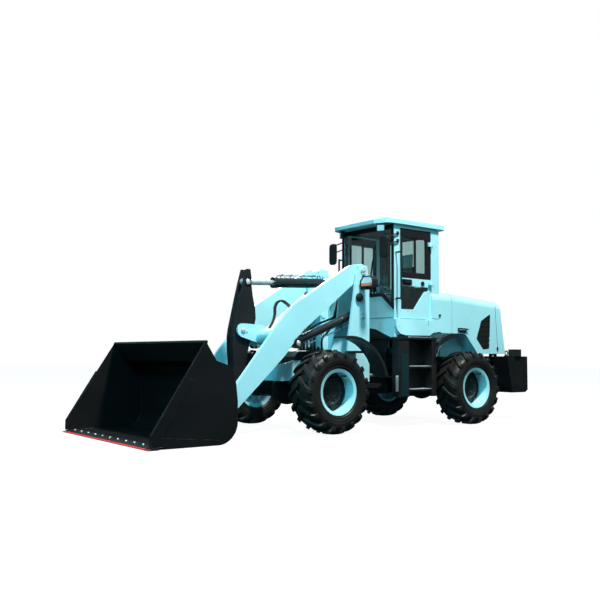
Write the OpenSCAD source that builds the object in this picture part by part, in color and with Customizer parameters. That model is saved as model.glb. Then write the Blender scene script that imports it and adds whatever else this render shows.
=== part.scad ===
// Compact articulated wheel loader with a Z-bar bucket linkage and a battery drive.
// +X is forward, +Y is left, +Z is up, in millimetres. The ground is z = 0.
// Modules draw from the front axle (x = 0) and one shift centres the machine.

/* [Overall] */
// front axle to rear axle
wheelbase = 2572; // [2400:1:2800]
// rear axle to the back of the counterweight
rear_overhang = 1598; // [1450:1:1750]
// front axle to the bucket's cutting tip
edge_reach = 2590; // [2500:1:2700]

/* [Wheels] */
// tyre radius out to the lug tips
tyre_r = 522; // [480:1:560]
// tyre section width
tyre_w = 405; // [340:1:440]
// half of the track
half_track = 892; // [860:1:930]
// depth of the tread lugs
lug_depth = 36; // [20:1:50]
// lugs on each side of a tyre
lug_count = 18; // [14:1:22]
// width of one lug
lug_w = 58; // [40:1:80]
// sweep of a lug from the axle direction
lug_angle = 38; // [20:1:50]
// rim lip radius
rim_r = 285; // [260:1:300]
// rim barrel wall
rim_wall = 14; // [8:1:20]
// hub radius
hub_r = 150; // [140:1:180]
// wheel spindle radius
spindle_r = 60; // [50:1:70]

/* [Boom linkage] */
// boom pivot behind the front axle
boom_pivot_back = 868; // [800:1:920]
// boom pivot height
boom_pivot_z = 2122; // [2050:1:2180]
// bucket hinge ahead of the front axle
hinge_fwd = 1340; // [1300:1:1380]
// bucket hinge height
hinge_z = 250; // [220:1:280]
// bellcrank pivot ahead of the front axle
crank_fwd = 770; // [740:1:800]
// bellcrank pivot height
crank_z = 1280; // [1250:1:1310]
// bellcrank upper arm
crank_up = 630; // [600:1:660]
// bellcrank lower arm
crank_down = 862; // [820:1:880]
// lean of the upper arm to the back, in degrees
crank_lean = 7.3; // [4:0.1:10]
// lean of the lower arm to the front, in degrees
crank_kick = 2; // [0:0.1:5]
// tilt link length
link_len = 622; // [600:1:640]
// tilt link slope at rest, in degrees
link_slope = 7; // [4:0.1:10]
// arm plate thickness
arm_t = 50; // [36:1:60]
// middle of an arm from the centre plane
arm_y = 480; // [470:1:490]
// boom pivot pin radius
pivot_pin_r = 42; // [36:1:46]
// linkage pin radius
link_pin_r = 34; // [28:1:38]
// arm end boss radius
arm_boss_r = 92; // [84:1:98]
// cross tube radius
cross_r = 105; // [90:1:112]

/* [Cylinders] */
// middle of a lift cylinder from the centre plane
lift_y = 390; // [384:1:396]
// lift cylinder foot behind the front axle
lift_foot_back = 860; // [840:1:880]
// lift cylinder foot height
lift_foot_z = 1540; // [1510:1:1570]
// lift rod eye ahead of the front axle
lift_eye_fwd = 200; // [180:1:220]
// lift rod eye height
lift_eye_z = 1123; // [1100:1:1140]
// lift barrel radius
lift_r = 54; // [48:1:57]
// lift rod radius
lift_rod_r = 32; // [26:1:36]
// tilt cylinder foot behind the front axle
tilt_foot_back = 643; // [620:1:660]
// tilt cylinder foot height
tilt_foot_z = 1969; // [1950:1:1990]
// tilt barrel radius
tilt_r = 66; // [58:1:70]
// tilt rod radius
tilt_rod_r = 36; // [28:1:40]
// tilt barrel length from its foot pin
tilt_barrel_len = 890; // [860:1:910]
// steering barrel radius
steer_r = 38; // [32:1:42]
// steering rod radius
steer_rod_r = 20; // [16:1:24]
// steering foot behind the hitch
steer_foot_back = 614; // [600:1:630]
// steering eye ahead of the hitch
steer_eye_fwd = 205; // [195:1:215]
// steering foot from the centre plane
steer_y = 360; // [354:1:366]
// steering pin radius
steer_pin_r = 18; // [15:1:20]
// height of the steering cylinders
steer_z = 700; // [690:1:710]

/* [Bucket] */
// half of the bucket width at its side plates
bucket_half = 1164; // [1100:1:1200]
// bucket sheet thickness
bucket_t = 22; // [16:1:28]
// side plate thickness
side_t = 26; // [18:1:32]
// height of the spill edge
bucket_top = 1114; // [1080:1:1140]
// cutting edge thickness
edge_t = 26; // [20:1:32]

/* [Cab] */
// half of the cab width
cab_half = 562; // [550:1:575]
// front of the cab behind the hitch
cab_setback = 159; // [150:1:180]
// depth of the cab
cab_len = 917; // [890:1:940]
// underside of the cab
cab_floor = 1220; // [1200:1:1240]
// top of the cab frame
cab_top = 2830; // [2790:1:2850]
// roof height over the cab frame
roof_h = 110; // [95:1:120]
// cab wall and door thickness
cab_t = 32; // [26:1:38]
// front pillar, from the cab's front to the door
pillar_a = 113; // [100:1:130]
// rear pillar, from the door to the cab's back
pillar_c = 200; // [180:1:220]
// door sill over the underside of the cab
sill_h = 276; // [250:1:300]
// top of the lower door glass over the underside of the cab
belt_low = 740; // [720:1:760]
// height of the door's handle strip
belt_h = 115; // [100:1:130]
// glass thickness
glass_t = 6; // [5:0.5:8]

/* [Hood and counterweight] */
// half of the hood width
hood_half = 600; // [585:1:612]
// hood skin thickness
hood_t = 26; // [20:1:32]
// top of the hood
hood_top = 1912; // [1890:1:1930]
// length of the hood along its foot
hood_len = 1240; // [1200:1:1270]
// radius of the hood's back edge
hood_nose = 190; // [150:1:210]
// radius of the hood's shoulders
crown_r = 120; // [90:1:150]
// foot of the hood ahead of the counterweight's back
cw_ledge = 332; // [300:1:360]
// counterweight depth along the machine
cw_depth = 470; // [440:1:500]
// half of the counterweight width
cw_half = 833; // [800:1:850]
// top of the counterweight
cw_top = 972; // [962:1:990]
// tow pin hole radius
tow_r = 24; // [18:1:28]

/* [Fits] */
// radial clearance of pins and rods
run_gap = 0.05; // [0.02:0.01:0.08]
// clearance beside a moving piece
side_gap = 6; // [5:0.5:8]

/* [Hidden] */
$fn = 64;
x_shift = (wheelbase + rear_overhang - edge_reach) / 2;
hitch_x = -wheelbase / 2;
boom_o = [-boom_pivot_back, boom_pivot_z];
hinge_b = [hinge_fwd, hinge_z];
crank_k = [crank_fwd, crank_z];
crank_t = crank_k + crank_up * [-sin(crank_lean), cos(crank_lean)];
crank_l = crank_k + crank_down * [sin(crank_kick), -cos(crank_kick)];
link_u = crank_l + link_len * [cos(link_slope), sin(link_slope)];
lift_p = [-lift_foot_back, lift_foot_z];
lift_q = [lift_eye_fwd, lift_eye_z];
lift_len = norm(lift_q - lift_p);
tilt_f = [-tilt_foot_back, tilt_foot_z];
tilt_len = norm(crank_t - tilt_f);
steer_g = [hitch_x - steer_foot_back, steer_y];
steer_h = [hitch_x + steer_eye_fwd, steer_y - 30];
steer_len = norm(steer_h - steer_g);
arm_in = arm_y - arm_t / 2;
arm_out = arm_y + arm_t / 2;
tower_t = 30;
tower_out0 = arm_out + 14;
tower_in1 = lift_y - lift_r - 18;
tower_in0 = tower_in1 - tower_t;
eye_half = 45;
crank_gap = tilt_rod_r + side_gap + 2;
crank_plate = 32;
crank_half = crank_gap + crank_plate;
ear_in = crank_half + side_gap;
ear_t = 30;
tilt_ear = tilt_r + 8 + side_gap;
steer_ear = steer_r + 8 + side_gap;
wheel_in = half_track - tyre_w / 2;
wheel_out = half_track + tyre_w / 2;
tower_b = min(-boom_pivot_back - 117, hitch_x + 301);
rear_x = -wheelbase;
cw_back = rear_x - rear_overhang;
cab_f = hitch_x - cab_setback;
cab_b = cab_f - cab_len;
hood_b = cw_back + cw_ledge;
seam_x = hood_b + hood_len;
chassis_end = cw_back + cw_depth;
bulk_x = hitch_x - 294;
drive_back = rear_x + 412;
drive_front = bulk_x - 120;
rail_in = 232;
rail_out = 292;
rail_low = tyre_r + 158;
rail_top = 960;
arch_top = rail_top + 345;
front_low = tyre_r + 118;

module row() translate([x_shift, 0, 0]) children();
module slab(y0, y1) translate([0, y1, 0]) rotate([90, 0, 0]) linear_extrude(y1 - y0) children();
module both() {
  children();
  mirror([0, 1, 0]) children();
}
module rod_y(p, r, y0, y1) translate([p[0], y1, p[1]]) rotate([90, 0, 0]) cylinder(r = r, h = y1 - y0);
module block(x0, x1, y0, y1, z0, z1) translate([x0, y0, z0]) cube([x1 - x0, y1 - y0, z1 - z0]);
module across(x0, x1) translate([x0, 0, 0]) rotate([90, 0, 90]) linear_extrude(x1 - x0) children();
module plan(z0, z1) translate([0, 0, z0]) linear_extrude(z1 - z0) children();
// draws along +Z from p towards q in the x-z plane at height y
module toward(p, q, y) translate([p[0], y, p[1]]) rotate([0, atan2(q[0] - p[0], q[1] - p[1]), 0])
  children();
module spin_y(x, y, z) translate([x, y, z]) rotate([90, 0, 0]) children();
function arc(c, r, a0, a1, n) = [for (i = [0 : n]) let (a = a0 + (a1 - a0) * i / n) c + r * [cos(a),
  sin(a)]];
// a polyline moved to its left by d, with mitred corners
function unit(v) = v / norm(v);
function left(v) = [-v[1], v[0]];
function shifted(p, d) = [for (i = [0 : len(p) - 1])
  let (a = i == 0 ? unit(p[1] - p[0]) : unit(p[i] - p[i - 1]))
  let (b = i == len(p) - 1 ? a : unit(p[i + 1] - p[i]))
  let (m = unit(left(a) + left(b)))
  p[i] + m * d / (m * left(a))];
function reversed(p) = [for (i = [len(p) - 1 : -1 : 0]) p[i]];
module strip(p, d) polygon(concat(p, reversed(shifted(p, d))));

// front body

tower_top = [[boom_o[0] + 92, boom_o[1] + 10], [boom_o[0] + 88, boom_o[1] + 58],
  [boom_o[0] + 76, boom_o[1] + 70], [boom_o[0] - 70, boom_o[1] + 70], [boom_o[0] - 80, boom_o[1] + 58],
  [boom_o[0] - 92, boom_o[1] - 22], [tower_b, boom_o[1] - 240]];
tower_out_outline = concat(
  [[tower_b, front_low - 20], [-560, front_low - 20], [-612, 1230], [-690, 1700], [-745, 2060]],
  tower_top);
tower_in_outline = concat(
  [[tower_b, front_low], [330, front_low], [330, 850], [120, 900], [-480, 900], [-590, 1300], [-640,
    1700], [-560, 1930],
   [-600, 2060], [-690, 2090]],
  tower_top);

module front_frame() color([0.30, 0.72, 0.72]) row() {
  both() {
    slab(tower_out0, tower_out0 + tower_t) polygon(tower_out_outline);
    slab(tower_in0, tower_in1) polygon(tower_in_outline);
    block(tower_b, -560, tower_in1, tower_out0, front_low, front_low + 30);
    block(tower_b, tower_b + 30, tower_in1, tower_out0, front_low, 1380);
    rod_y(boom_o, pivot_pin_r, tower_in0 - 12, tower_out0 + tower_t + 14);
    rod_y(lift_p, link_pin_r, tower_in0 - 12, tower_out0 + tower_t + 14);
    for (p = [boom_o, lift_p]) translate([p[0], 0, p[1]])
      block(-36, 24, tower_out0 + tower_t - 1, tower_out0 + tower_t + 14, -66, 10);
  }
  // floor, bulkheads and top deck between the towers
  difference() {
    block(tower_b, 330, -tower_in0, tower_in0, front_low, front_low + 40);
    block(-215, 215, -215, 215, front_low - 10, front_low + 50);
  }
  block(tower_b, tower_b + 40, -tower_in0, tower_in0, 440, 1300);
  block(tower_b + 40, -560, -tower_in0, tower_in0, 860, 900);
  block(290, 330, -tower_in0, tower_in0, front_low, 850);
  // tilt cylinder cross member and ears
  block(-800, -640, -tower_in0, tower_in0, 1740, 1800);
  both() slab(tilt_ear, tilt_ear + 30)
    polygon([[-800, 1760], [-600, 1760], [-575, 1969], [-610, 2030], [-680, 2030], [-720, 1969]]);
  rod_y(tilt_f, link_pin_r, -tilt_ear - 42, tilt_ear + 42);
  // hitch plates
  for (z = [450, 900]) difference() {
    union() {
      plan(z, z + 60) polygon([[tower_b + 25, -tower_in0], [tower_b + 25, tower_in0], [hitch_x, 118],
        [hitch_x, -118]]);
      translate([hitch_x, 0, z]) cylinder(r = 118, h = 60);
    }
    translate([hitch_x, 0, z - 1]) cylinder(r = pivot_pin_r + run_gap, h = 62);
  }
  // steering rod lugs
  both() for (z = [steer_z - steer_ear - 24, steer_z + steer_ear])
    plan(z, z + 24) polygon([[tower_b + 25, 250], [tower_b + 25, 400], [steer_h[0] - 30, 370],
      [steer_h[0] - 30, 290]]);
}

module front_axle() color([0.08, 0.08, 0.09]) row() {
  axle(0);
  both() block(-130, 130, 170, 270, tyre_r + 78, front_low);
  translate([-160, 0, tyre_r]) rotate([0, -90, 0]) cylinder(r = 45, h = -tower_b - 200);
  translate([-760, 0, tyre_r]) rotate([0, -90, 0]) cylinder(r = 78, h = 60);
}

module axle(x) {
  translate([x, 0, tyre_r]) {
    rotate([90, 0, 0]) cylinder(r = 100, h = 2 * (wheel_in - 40), center = true);
    rotate([90, 0, 0]) cylinder(r = 112, h = 2 * (wheel_in - 90), center = true, $fn = 8);
    sphere(r = 205);
    both() translate([0, wheel_in - 40, 0]) rotate([-90, 0, 0]) cylinder(r = 118, h = 90);
    both() translate([0, wheel_in + 50, 0]) rotate([-90, 0, 0]) cylinder(r = spindle_r,
      h = tyre_w / 2 - 30);
  }
}

fender_path = arc([-180, tyre_r + 38], tyre_r + 118, 84, 180, 14);
module front_fenders() color([0.06, 0.06, 0.07]) row() both() {
  difference() {
    union() {
      slab(822, 1075) strip(fender_path, 12);
      for (y = [840 : 44 : 1060]) slab(y, y + 16) strip(shifted(fender_path, -10), 12);
      slab(1063, 1085) strip(shifted(fender_path, -16), 40);
    }
    block(-1000, -600, 800, 1100, 500, tyre_r + 182);
  }
  block(-740, -560, tower_out0 + tower_t, 826, 1000, 1030);
}

module headlamps() color([0.75, 0.78, 0.8]) row() both() {
  block(-900, -800, tower_out0 + tower_t + 15, tower_out0 + tower_t + 265, 1885, 2035);
  block(-885, -820, tower_out0 + tower_t, tower_out0 + tower_t + 120, 1855, 1886);
}

// loader linkage

arm_top = [[-780, 2207], [-677, 2180], [-300, 1955], [100, 1712], [290, 1590], [400, 1480], [500, 1370],
  [1102, 640], [1405, 318]];
arm_low = [[1262, 188], [1098, 330], [640, 742], [400, 968], [330, 1050], [210, 1200], [110, 1292],
  [-300, 1600], [-713, 1918], [-925, 2052]];
module boom() color([0.32, 0.75, 0.75]) row() {
  both() difference() {
    union() {
      slab(arm_in, arm_out) polygon(concat(arm_top, arm_low));
      rod_y(boom_o, arm_boss_r, tower_in1 + side_gap, arm_out);
      rod_y(boom_o, arm_boss_r, arm_in, tower_out0 - side_gap);
      rod_y(hinge_b, arm_boss_r, arm_in - 18, arm_out + 18);
      rod_y(lift_q, 66, lift_y + eye_half + side_gap, arm_out + 10);
    }
    rod_y(boom_o, pivot_pin_r + run_gap, 0, 800);
    rod_y(hinge_b, link_pin_r + run_gap, 0, 800);
  }
  // cross tube with the bellcrank's bracket
  rod_y([470, 1200], cross_r, -arm_y, arm_y);
  both() slab(ear_in, ear_in + ear_t)
    polygon(concat([[400, 1110], [560, 1128]], arc(crank_k, 88, -72, 96, 10), [[470, 1352], [392,
      1300]]));
  rod_y(crank_k, link_pin_r, -ear_in - ear_t - 10, ear_in + ear_t + 10);
}

crank_outline = [[650, 2070], [705, 2070], [735, 1960], [752, 1900], [800, 1700], [850, 1480], [890,
  1300],
  [905, 1200], [900, 1050], [880, 800], [872, 420], [850, 350], [790, 340], [735, 380], [728, 440], [720,
    800],
  [660, 1080], [590, 1300], [560, 1440], [570, 1560], [610, 1720], [632, 1880], [632, 1960]];
crank_web = [[725, 780], [868, 780], [888, 1050], [893, 1200], [878, 1300], [838, 1480], [790, 1690],
  [765, 1780], [650, 1780], [622, 1720], [582, 1560], [572, 1440], [602, 1300], [672, 1080]];
module bellcrank() color([0.07, 0.07, 0.08]) row() {
  difference() {
    union() {
      both() slab(crank_gap, crank_half) polygon(crank_outline);
      rod_y(crank_k, 95, -crank_half, crank_half);
      slab(-crank_gap - 1, crank_gap + 1) polygon(crank_web);
    }
    rod_y(crank_k, link_pin_r + run_gap, -200, 200);
  }
  both() rod_y(crank_l, link_pin_r + 6, crank_half - 1, crank_half + 14);
  both() rod_y(crank_t, 40, crank_half - 1, crank_half + 14);
}

module tilt_link() color([0.07, 0.07, 0.08]) row() difference() {
  union() {
    rod_y(crank_l, 66, -crank_gap + side_gap, crank_gap - side_gap);
    rod_y(link_u, 66, -crank_gap + side_gap, crank_gap - side_gap);
    slab(-crank_gap + side_gap, crank_gap - side_gap) bar(crank_l, link_u, 48);
  }
  rod_y(link_u, link_pin_r + run_gap, -100, 100);
}
module bar(p, q, h) polygon([
  p + h * left(unit(q - p)), q + h * left(unit(q - p)), q - h * left(unit(q - p)),
    p - h * left(unit(q - p))]);

floor_front = edge_reach - 120;
bucket_back = concat(
  [[floor_front, 4]],
  arc([1760, 244], 240, 270, 184, 10),
  [[1524, 470], [1548, 660], [1592, 840], [1800, 905], [1935, bucket_top]]);
bucket_space = concat(shifted(bucket_back, -bucket_t / 2), [[edge_reach, bucket_top]]);
side_outline = concat(
  [[edge_reach - 60, 4]], [for (i = [1 : len(bucket_back) - 1]) bucket_back[i]],
  [[edge_reach - 30, 150], [edge_reach - 30, 30]]);
// wear strip along the front and the foot of a side plate
wear_outline = [[edge_reach - 30, 34], [edge_reach - 30, 150], [2180, 752], [2096, 700], [2440, 120],
  [1760, 60],
  [1760, 12], [edge_reach - 70, 12]];
module bucket() color([0.06, 0.06, 0.07]) row() {
  slab(-bucket_half + 5, bucket_half - 5) strip(bucket_back, -bucket_t);
  both() difference() {
    union() {
      slab(bucket_half - side_t, bucket_half) polygon(side_outline);
      slab(bucket_half - 1, bucket_half + 12) polygon(wear_outline);
    }
    block(floor_front - 60.4, edge_reach + 20, 0, bucket_half + 40, -1, edge_t + 4.4);
  }
  // hinge ears and the ears of the tilt link
  both() for (y = [arm_in - 18 - side_gap - 30, arm_out + 18 + side_gap]) slab(y, y + 30) difference() {
    polygon(concat([[1640, 60], [1640, 560], [1500, 520]], arc(hinge_b, 80, 120, 270, 8), [[1480, 90]]));
    polygon(bucket_space);
  }
  both() rod_y(hinge_b, link_pin_r, arm_in - 18 - side_gap - 42, arm_out + 18 + side_gap + 42);
  both() slab(crank_gap + 3, crank_gap + 36) difference() {
    polygon(concat([[1600, 330], [1600, 680], [1500, 640]], arc(link_u, 72, 110, 250, 8)));
    polygon(bucket_space);
  }
  rod_y(link_u, link_pin_r, -crank_gap - 48, crank_gap + 48);
  // spill edge roll
  rod_y([1928, bucket_top - 10], 20, -bucket_half + 5, bucket_half - 5);
}

module cutting_edge() color([0.16, 0.15, 0.15]) row()
  slab(-bucket_half - 12, bucket_half + 12)
    polygon([[floor_front, 4], [floor_front, 4 - 4], [edge_reach, 0], [edge_reach, 6], [edge_reach - 70,
      edge_t + 4],
      [floor_front - 60, edge_t + 4], [floor_front - 60, 4 + bucket_t], [floor_front, 4 + bucket_t]]);

// cylinders: a barrel and a rod with its piston, drawn along +Z from the foot pin

module barrel(r, rod, pin, half, length) difference() {
  union() {
    rotate([90, 0, 0]) cylinder(r = pin + 30, h = 2 * half, center = true);
    translate([0, 0, pin + 10]) cylinder(r = r, h = length - pin - 10);
    translate([0, 0, length - 60]) cylinder(r = r + 8, h = 60);
  }
  rotate([90, 0, 0]) cylinder(r = pin + run_gap, h = 2 * half + 2, center = true);
  translate([0, 0, pin + 50]) cylinder(r = r - 10, h = length - pin - 90);
  translate([0, 0, length - 80]) cylinder(r = rod + run_gap, h = 90);
}
module piston_rod(r, rod, pin, half, start, length) {
  translate([0, 0, start]) cylinder(r = rod, h = length - start - 20);
  translate([0, 0, start]) cylinder(r = r - 10 - run_gap, h = 40);
  translate([0, 0, length]) rotate([90, 0, 0]) cylinder(r = pin + 26, h = 2 * half, center = true);
}
module lift_barrel() toward(lift_p, lift_q, lift_y) barrel(lift_r, lift_rod_r, link_pin_r, eye_half,
  lift_len - 110);
module lift_rod() toward(lift_p, lift_q, lift_y)
  piston_rod(lift_r, lift_rod_r, link_pin_r, eye_half, 140, lift_len);
module lift_barrel_left() color([0.06, 0.06, 0.07]) row() lift_barrel();
module lift_barrel_right() color([0.06, 0.06, 0.07]) row() mirror([0, 1, 0]) lift_barrel();
module lift_rod_left() color([0.8, 0.8, 0.82]) row() lift_rod();
module lift_rod_right() color([0.8, 0.8, 0.82]) row() mirror([0, 1, 0]) lift_rod();
module tilt_barrel() color([0.06, 0.06, 0.07]) row() toward(tilt_f, crank_t, 0)
  barrel(tilt_r, tilt_rod_r, link_pin_r, tilt_ear - side_gap, tilt_barrel_len);
module tilt_rod() color([0.8, 0.8, 0.82]) row() toward(tilt_f, crank_t, 0)
  piston_rod(tilt_r, tilt_rod_r, link_pin_r - 8, crank_gap - side_gap, 520, tilt_len);
module steer_axis() translate([steer_g[0], steer_g[1], steer_z])
  rotate([0, 0, atan2(steer_h[1] - steer_g[1], steer_h[0] - steer_g[0])]) rotate([90, 0, 90]) children();
module steer_barrel() steer_axis() barrel(steer_r, steer_rod_r, steer_pin_r, steer_ear - side_gap,
  steer_foot_back - 54);
module steer_rod() steer_axis() piston_rod(steer_r, steer_rod_r, steer_pin_r, steer_ear - side_gap, 270,
  steer_len);
module steer_barrel_left() color([0.06, 0.06, 0.07]) row() steer_barrel();
module steer_barrel_right() color([0.06, 0.06, 0.07]) row() mirror([0, 1, 0]) steer_barrel();
module steer_rod_left() color([0.8, 0.8, 0.82]) row() steer_rod();
module steer_rod_right() color([0.8, 0.8, 0.82]) row() mirror([0, 1, 0]) steer_rod();

// rear body

module rear_chassis() color([0.07, 0.07, 0.08]) row() {
  both() slab(rail_in, rail_out) polygon([[chassis_end, rail_low], [steer_g[0] + 75, rail_low],
    [steer_g[0] + 75, steer_z + steer_ear + 36], [bulk_x + 40, steer_z + steer_ear + 36], [bulk_x + 40,
      940],
    [chassis_end, 940]]);
  difference() {
    block(bulk_x, bulk_x + 40, -rail_out, rail_out, 430, 1040);
    both() block(bulk_x - 1, bulk_x + 41, 190, rail_out + 1, steer_z - 62, steer_z + 62);
  }
  block(bulk_x, bulk_x + 20, -rail_out, rail_out, 1039, cab_floor - 4);
  for (x = [rear_x - 628, rear_x + 332]) block(x, x + 60, -rail_in, rail_in, 700, 900);
  block(chassis_end, chassis_end + 100, -rail_out, rail_out, 560, 940);
  // hitch plates over those of the front frame, and the hitch pins
  for (z = [516, 966]) {
    plan(z, z + 54) polygon([[bulk_x + 20, -rail_out], [bulk_x + 20, rail_out], [hitch_x, 112], [hitch_x,
      -112]]);
    translate([hitch_x, 0, z]) cylinder(r = 112, h = 54);
  }
  for (z = [430, 880]) translate([hitch_x, 0, z]) cylinder(r = pivot_pin_r, h = 150);
  // steering feet
  both() for (z = [steer_z - steer_ear - 24, steer_z + steer_ear])
    plan(z, z + 24) polygon([[steer_g[0] - 70, rail_out - 6], [steer_g[0] + 60, rail_out - 6],
      [steer_g[0] + 40, steer_y + 36], [steer_g[0] - 40, steer_y + 36]]);
  both() translate([steer_g[0], steer_g[1], steer_z - steer_ear - 30]) cylinder(r = steer_pin_r,
    h = 2 * steer_ear + 60);
  // cab mounts, box brackets and hood rails
  both() for (x = [cab_b + 62, cab_f - 345]) block(x, x + 90, rail_in, rail_out + 38, 930, cab_floor);
  both() for (x = [hitch_x - 674, hitch_x - 374]) {
    block(x, x + 70, rail_out - 7, box_in, 1000, 1080);
    block(x, x + 70, rail_in, rail_out, 930, 1080);
  }
  both() block(chassis_end, cab_b - 38, rail_out - 7, 540, 900, rail_top);
}

module rear_axle() color([0.08, 0.08, 0.09]) row() {
  axle(rear_x);
  both() block(rear_x - 130, rear_x + 130, 170, rail_out, tyre_r + 78, rail_low);
  translate([rear_x + 160, 0, tyre_r]) rotate([0, 90, 0]) cylinder(r = 45, h = drive_back - rear_x - 160);
}

module drive_unit() color([0.25, 0.26, 0.28]) row() {
  block(drive_back, drive_front, -190, 190, 440, 880);
  translate([drive_front, 0, tyre_r]) rotate([0, 90, 0]) cylinder(r = 60, h = bulk_x - drive_front);
  translate([drive_back + 40, 0, 880]) rotate([0, 90, 0]) cylinder(r = 150,
    h = drive_front - drive_back - 80);
}

module battery_pack() color([0.2, 0.21, 0.23]) row()
  block(hood_b + 278, seam_x - 82, -house_in + 30, house_in - 30, rail_top, hood_top - 272);

module counterweight() color([0.07, 0.07, 0.08]) row() {
  cast_block();
  both() {
    for (y = [300, 394]) block(hood_pin[0] - 24, hood_pin[0] + 24, y, y + 26, cw_top - 12,
      hood_pin[1] + 22);
    rod_y(hood_pin, hinge_pin_r, 300, 420);
  }
}
module cast_block() difference() {
  slab(-cw_half, cw_half) polygon([[chassis_end, 430], [chassis_end + 110, cw_top], [cw_back, cw_top],
    [cw_back, 505], [cw_back + 145, 416], [chassis_end, 416]]);
  block(chassis_end, chassis_end + 200, -545, 545, 400, rail_top + 0.5);
  both() plan(400, cw_top + 20) polygon([[cw_back - 1, cw_half - 93], [cw_back - 1, cw_half + 7],
    [cw_back + 90, cw_half + 7]]);
  block(cw_back - 1, cw_back + 150, -120, 120, 640, 740);
  translate([cw_back + 70, 0, 560]) cylinder(r = tow_r, h = 500);
}

sill_z = cab_floor + sill_h;
belt_z = cab_floor + belt_low;
screen = [[-cab_half + 48, 1650], [-cab_half + 48, cab_top - 40], [cab_half - 48, cab_top - 40],
  [cab_half - 48, 1650], [300, 1840], [-300, 1840]];
skirt_z = cab_floor + 38;
skirt_outline = [[cab_b, arch_top + 15], [cab_b + 63, arch_top + 15], [cab_b + 176, skirt_z + 44],
  [cab_b + 241, skirt_z + 4], [cab_f - 190, skirt_z], [cab_f - 90, skirt_z + 20], [cab_f - 30,
    skirt_z + 66],
  [cab_f, skirt_z + 130], [cab_f, sill_z - 16], [cab_b, sill_z - 16]];
module cab_frame() color([0.32, 0.75, 0.75]) row() {
  cab_shell();
  both() slab(cab_half - 1, hood_half) polygon(skirt_outline);
  both() intersection() {
    block(cab_b, door_rear - 20, cab_half - 1, hood_half + 1, arch_top + 15, hood_top);
    across(cab_b, door_rear) polygon(crown(0));
  }
  both() for (z = hinge_zs) {
    block(hinge_x - 18, hinge_x + 6, cab_half - 1, cab_half + 32, z - 22, z - 2);
    translate([hinge_x, hinge_y, z - 20]) cylinder(r = hinge_pin_r, h = 74);
  }
}
module cab_shell() difference() {
  block(cab_b, cab_f, -cab_half, cab_half, cab_floor, cab_top);
  block(cab_b + cab_t, cab_f - cab_t, -cab_half + cab_t, cab_half - cab_t, cab_floor + 50, cab_top + 1);
  // doors, windscreen and rear window
  slab(-cab_half - 1, cab_half + 1) polygon(door_outline(side_gap));
  across(cab_f - cab_t - 1, cab_f + 1) polygon(screen);
  block(cab_b - 1, cab_b + cab_t + 1, -cab_half + 70, cab_half - 70, belt_z, cab_top - 60);
  across(cab_f - cab_t - 400, cab_f + 1) polygon([[-440, cab_floor - 20], [-300, cab_floor + 42],
    [300, cab_floor + 42], [440, cab_floor - 20]]);
}

roof_outline = [[cab_f + 223, -380], [cab_f + 223, 380], [cab_f + 145, cab_half - 2], [cab_f + 25,
  cab_half + 38],
  [cab_b - 78, cab_half + 38], [cab_b - 130, cab_half - 22], [cab_b - 130, -cab_half + 22],
  [cab_b - 78, -cab_half - 38], [cab_f + 25, -cab_half - 38], [cab_f + 145, -cab_half + 2]];
module cab_roof() color([0.32, 0.75, 0.75]) row() intersection() {
  plan(cab_top, cab_top + roof_h) polygon(roof_outline);
  slab(-cab_half - 100, cab_half + 100) polygon([[cab_f + 245, cab_top], [cab_f + 245, cab_top + 50],
    [cab_f + 5, cab_top + roof_h], [cab_b + 12, cab_top + roof_h - 8], [cab_b - 158, cab_top + 46],
    [cab_b - 158, cab_top]]);
  across(cab_b - 240, cab_f + 345) polygon([[-cab_half - 138, cab_top], [-cab_half - 138, cab_top + 40],
    [-cab_half + 132, cab_top + roof_h], [cab_half - 132, cab_top + roof_h], [cab_half + 138,
      cab_top + 40],
    [cab_half + 138, cab_top]]);
}

module cab_glass() color([0.35, 0.5, 0.55, 0.4]) row() {
  across(cab_f - cab_t / 2 - glass_t / 2, cab_f - cab_t / 2 + glass_t / 2) polygon(screen);
  block(cab_b + cab_t / 2 - glass_t / 2, cab_b + cab_t / 2 + glass_t / 2, -cab_half + 70, cab_half - 70,
    belt_z,
    cab_top - 60);
}

module seat() color([0.05, 0.05, 0.06]) row() translate([cab_b + 210, 0, cab_floor + 50]) {
  block(10, 310, -200, 200, 0, 230);
  block(-20, 430, -250, 250, 230, 370);
  translate([0, 0, 330]) rotate([0, -8, 0]) block(-60, 70, -240, 240, 0, 620);
}

module console() color([0.08, 0.08, 0.09]) row() translate([cab_f - cab_t, 0, cab_floor + 50]) {
  block(-160, 0, -180, 180, 0, 550);
  translate([-160, 0, 490]) rotate([0, -50, 0]) {
    cylinder(r = 24, h = 190);
    translate([0, 0, 170]) rotate_extrude() translate([170, 0]) circle(r = 16, $fn = 24);
    translate([0, 0, 160]) both() translate([-12, 0, 0]) cube([24, 165, 16]);
  }
}

box_in = norm([tower_b - hitch_x, tower_out0 + tower_t]) + side_gap + 10;
box_out = 840;
box_low = 410;
deck_z = cab_floor + 6;
box_f = hitch_x + 19;
box_b = rear_x + tyre_r + 60;
well_f = box_f - 183;
well_b = box_b + 86;
module side_boxes() color([0.07, 0.07, 0.08]) row() both() {
  plan(deck_z - 26, deck_z) polygon([[box_b, cab_half], [cab_f - 20, cab_half], [cab_f + 50, box_in],
    [box_f - 109, box_in], [box_f + 37, box_in + 82], [box_f + 37, box_out + 10], [box_b, box_out + 10]]);
  plan(box_low, deck_z - 26) polygon([[well_f, box_in], [box_f - 109, box_in], [box_f, box_in + 60],
    [box_f, box_out], [well_f, box_out]]);
  block(box_b, well_b, box_in, box_out, box_low, deck_z - 26);
  block(well_b, well_f, box_in, box_in + 30, box_low, deck_z - 26);
  for (z = [490, 802]) block(well_b, well_f, box_in, box_out - 6, z, z + 24);
  block(well_f + 10, box_f - 33, box_out, box_out + 6, box_low + 60, deck_z - 76);
}

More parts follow.
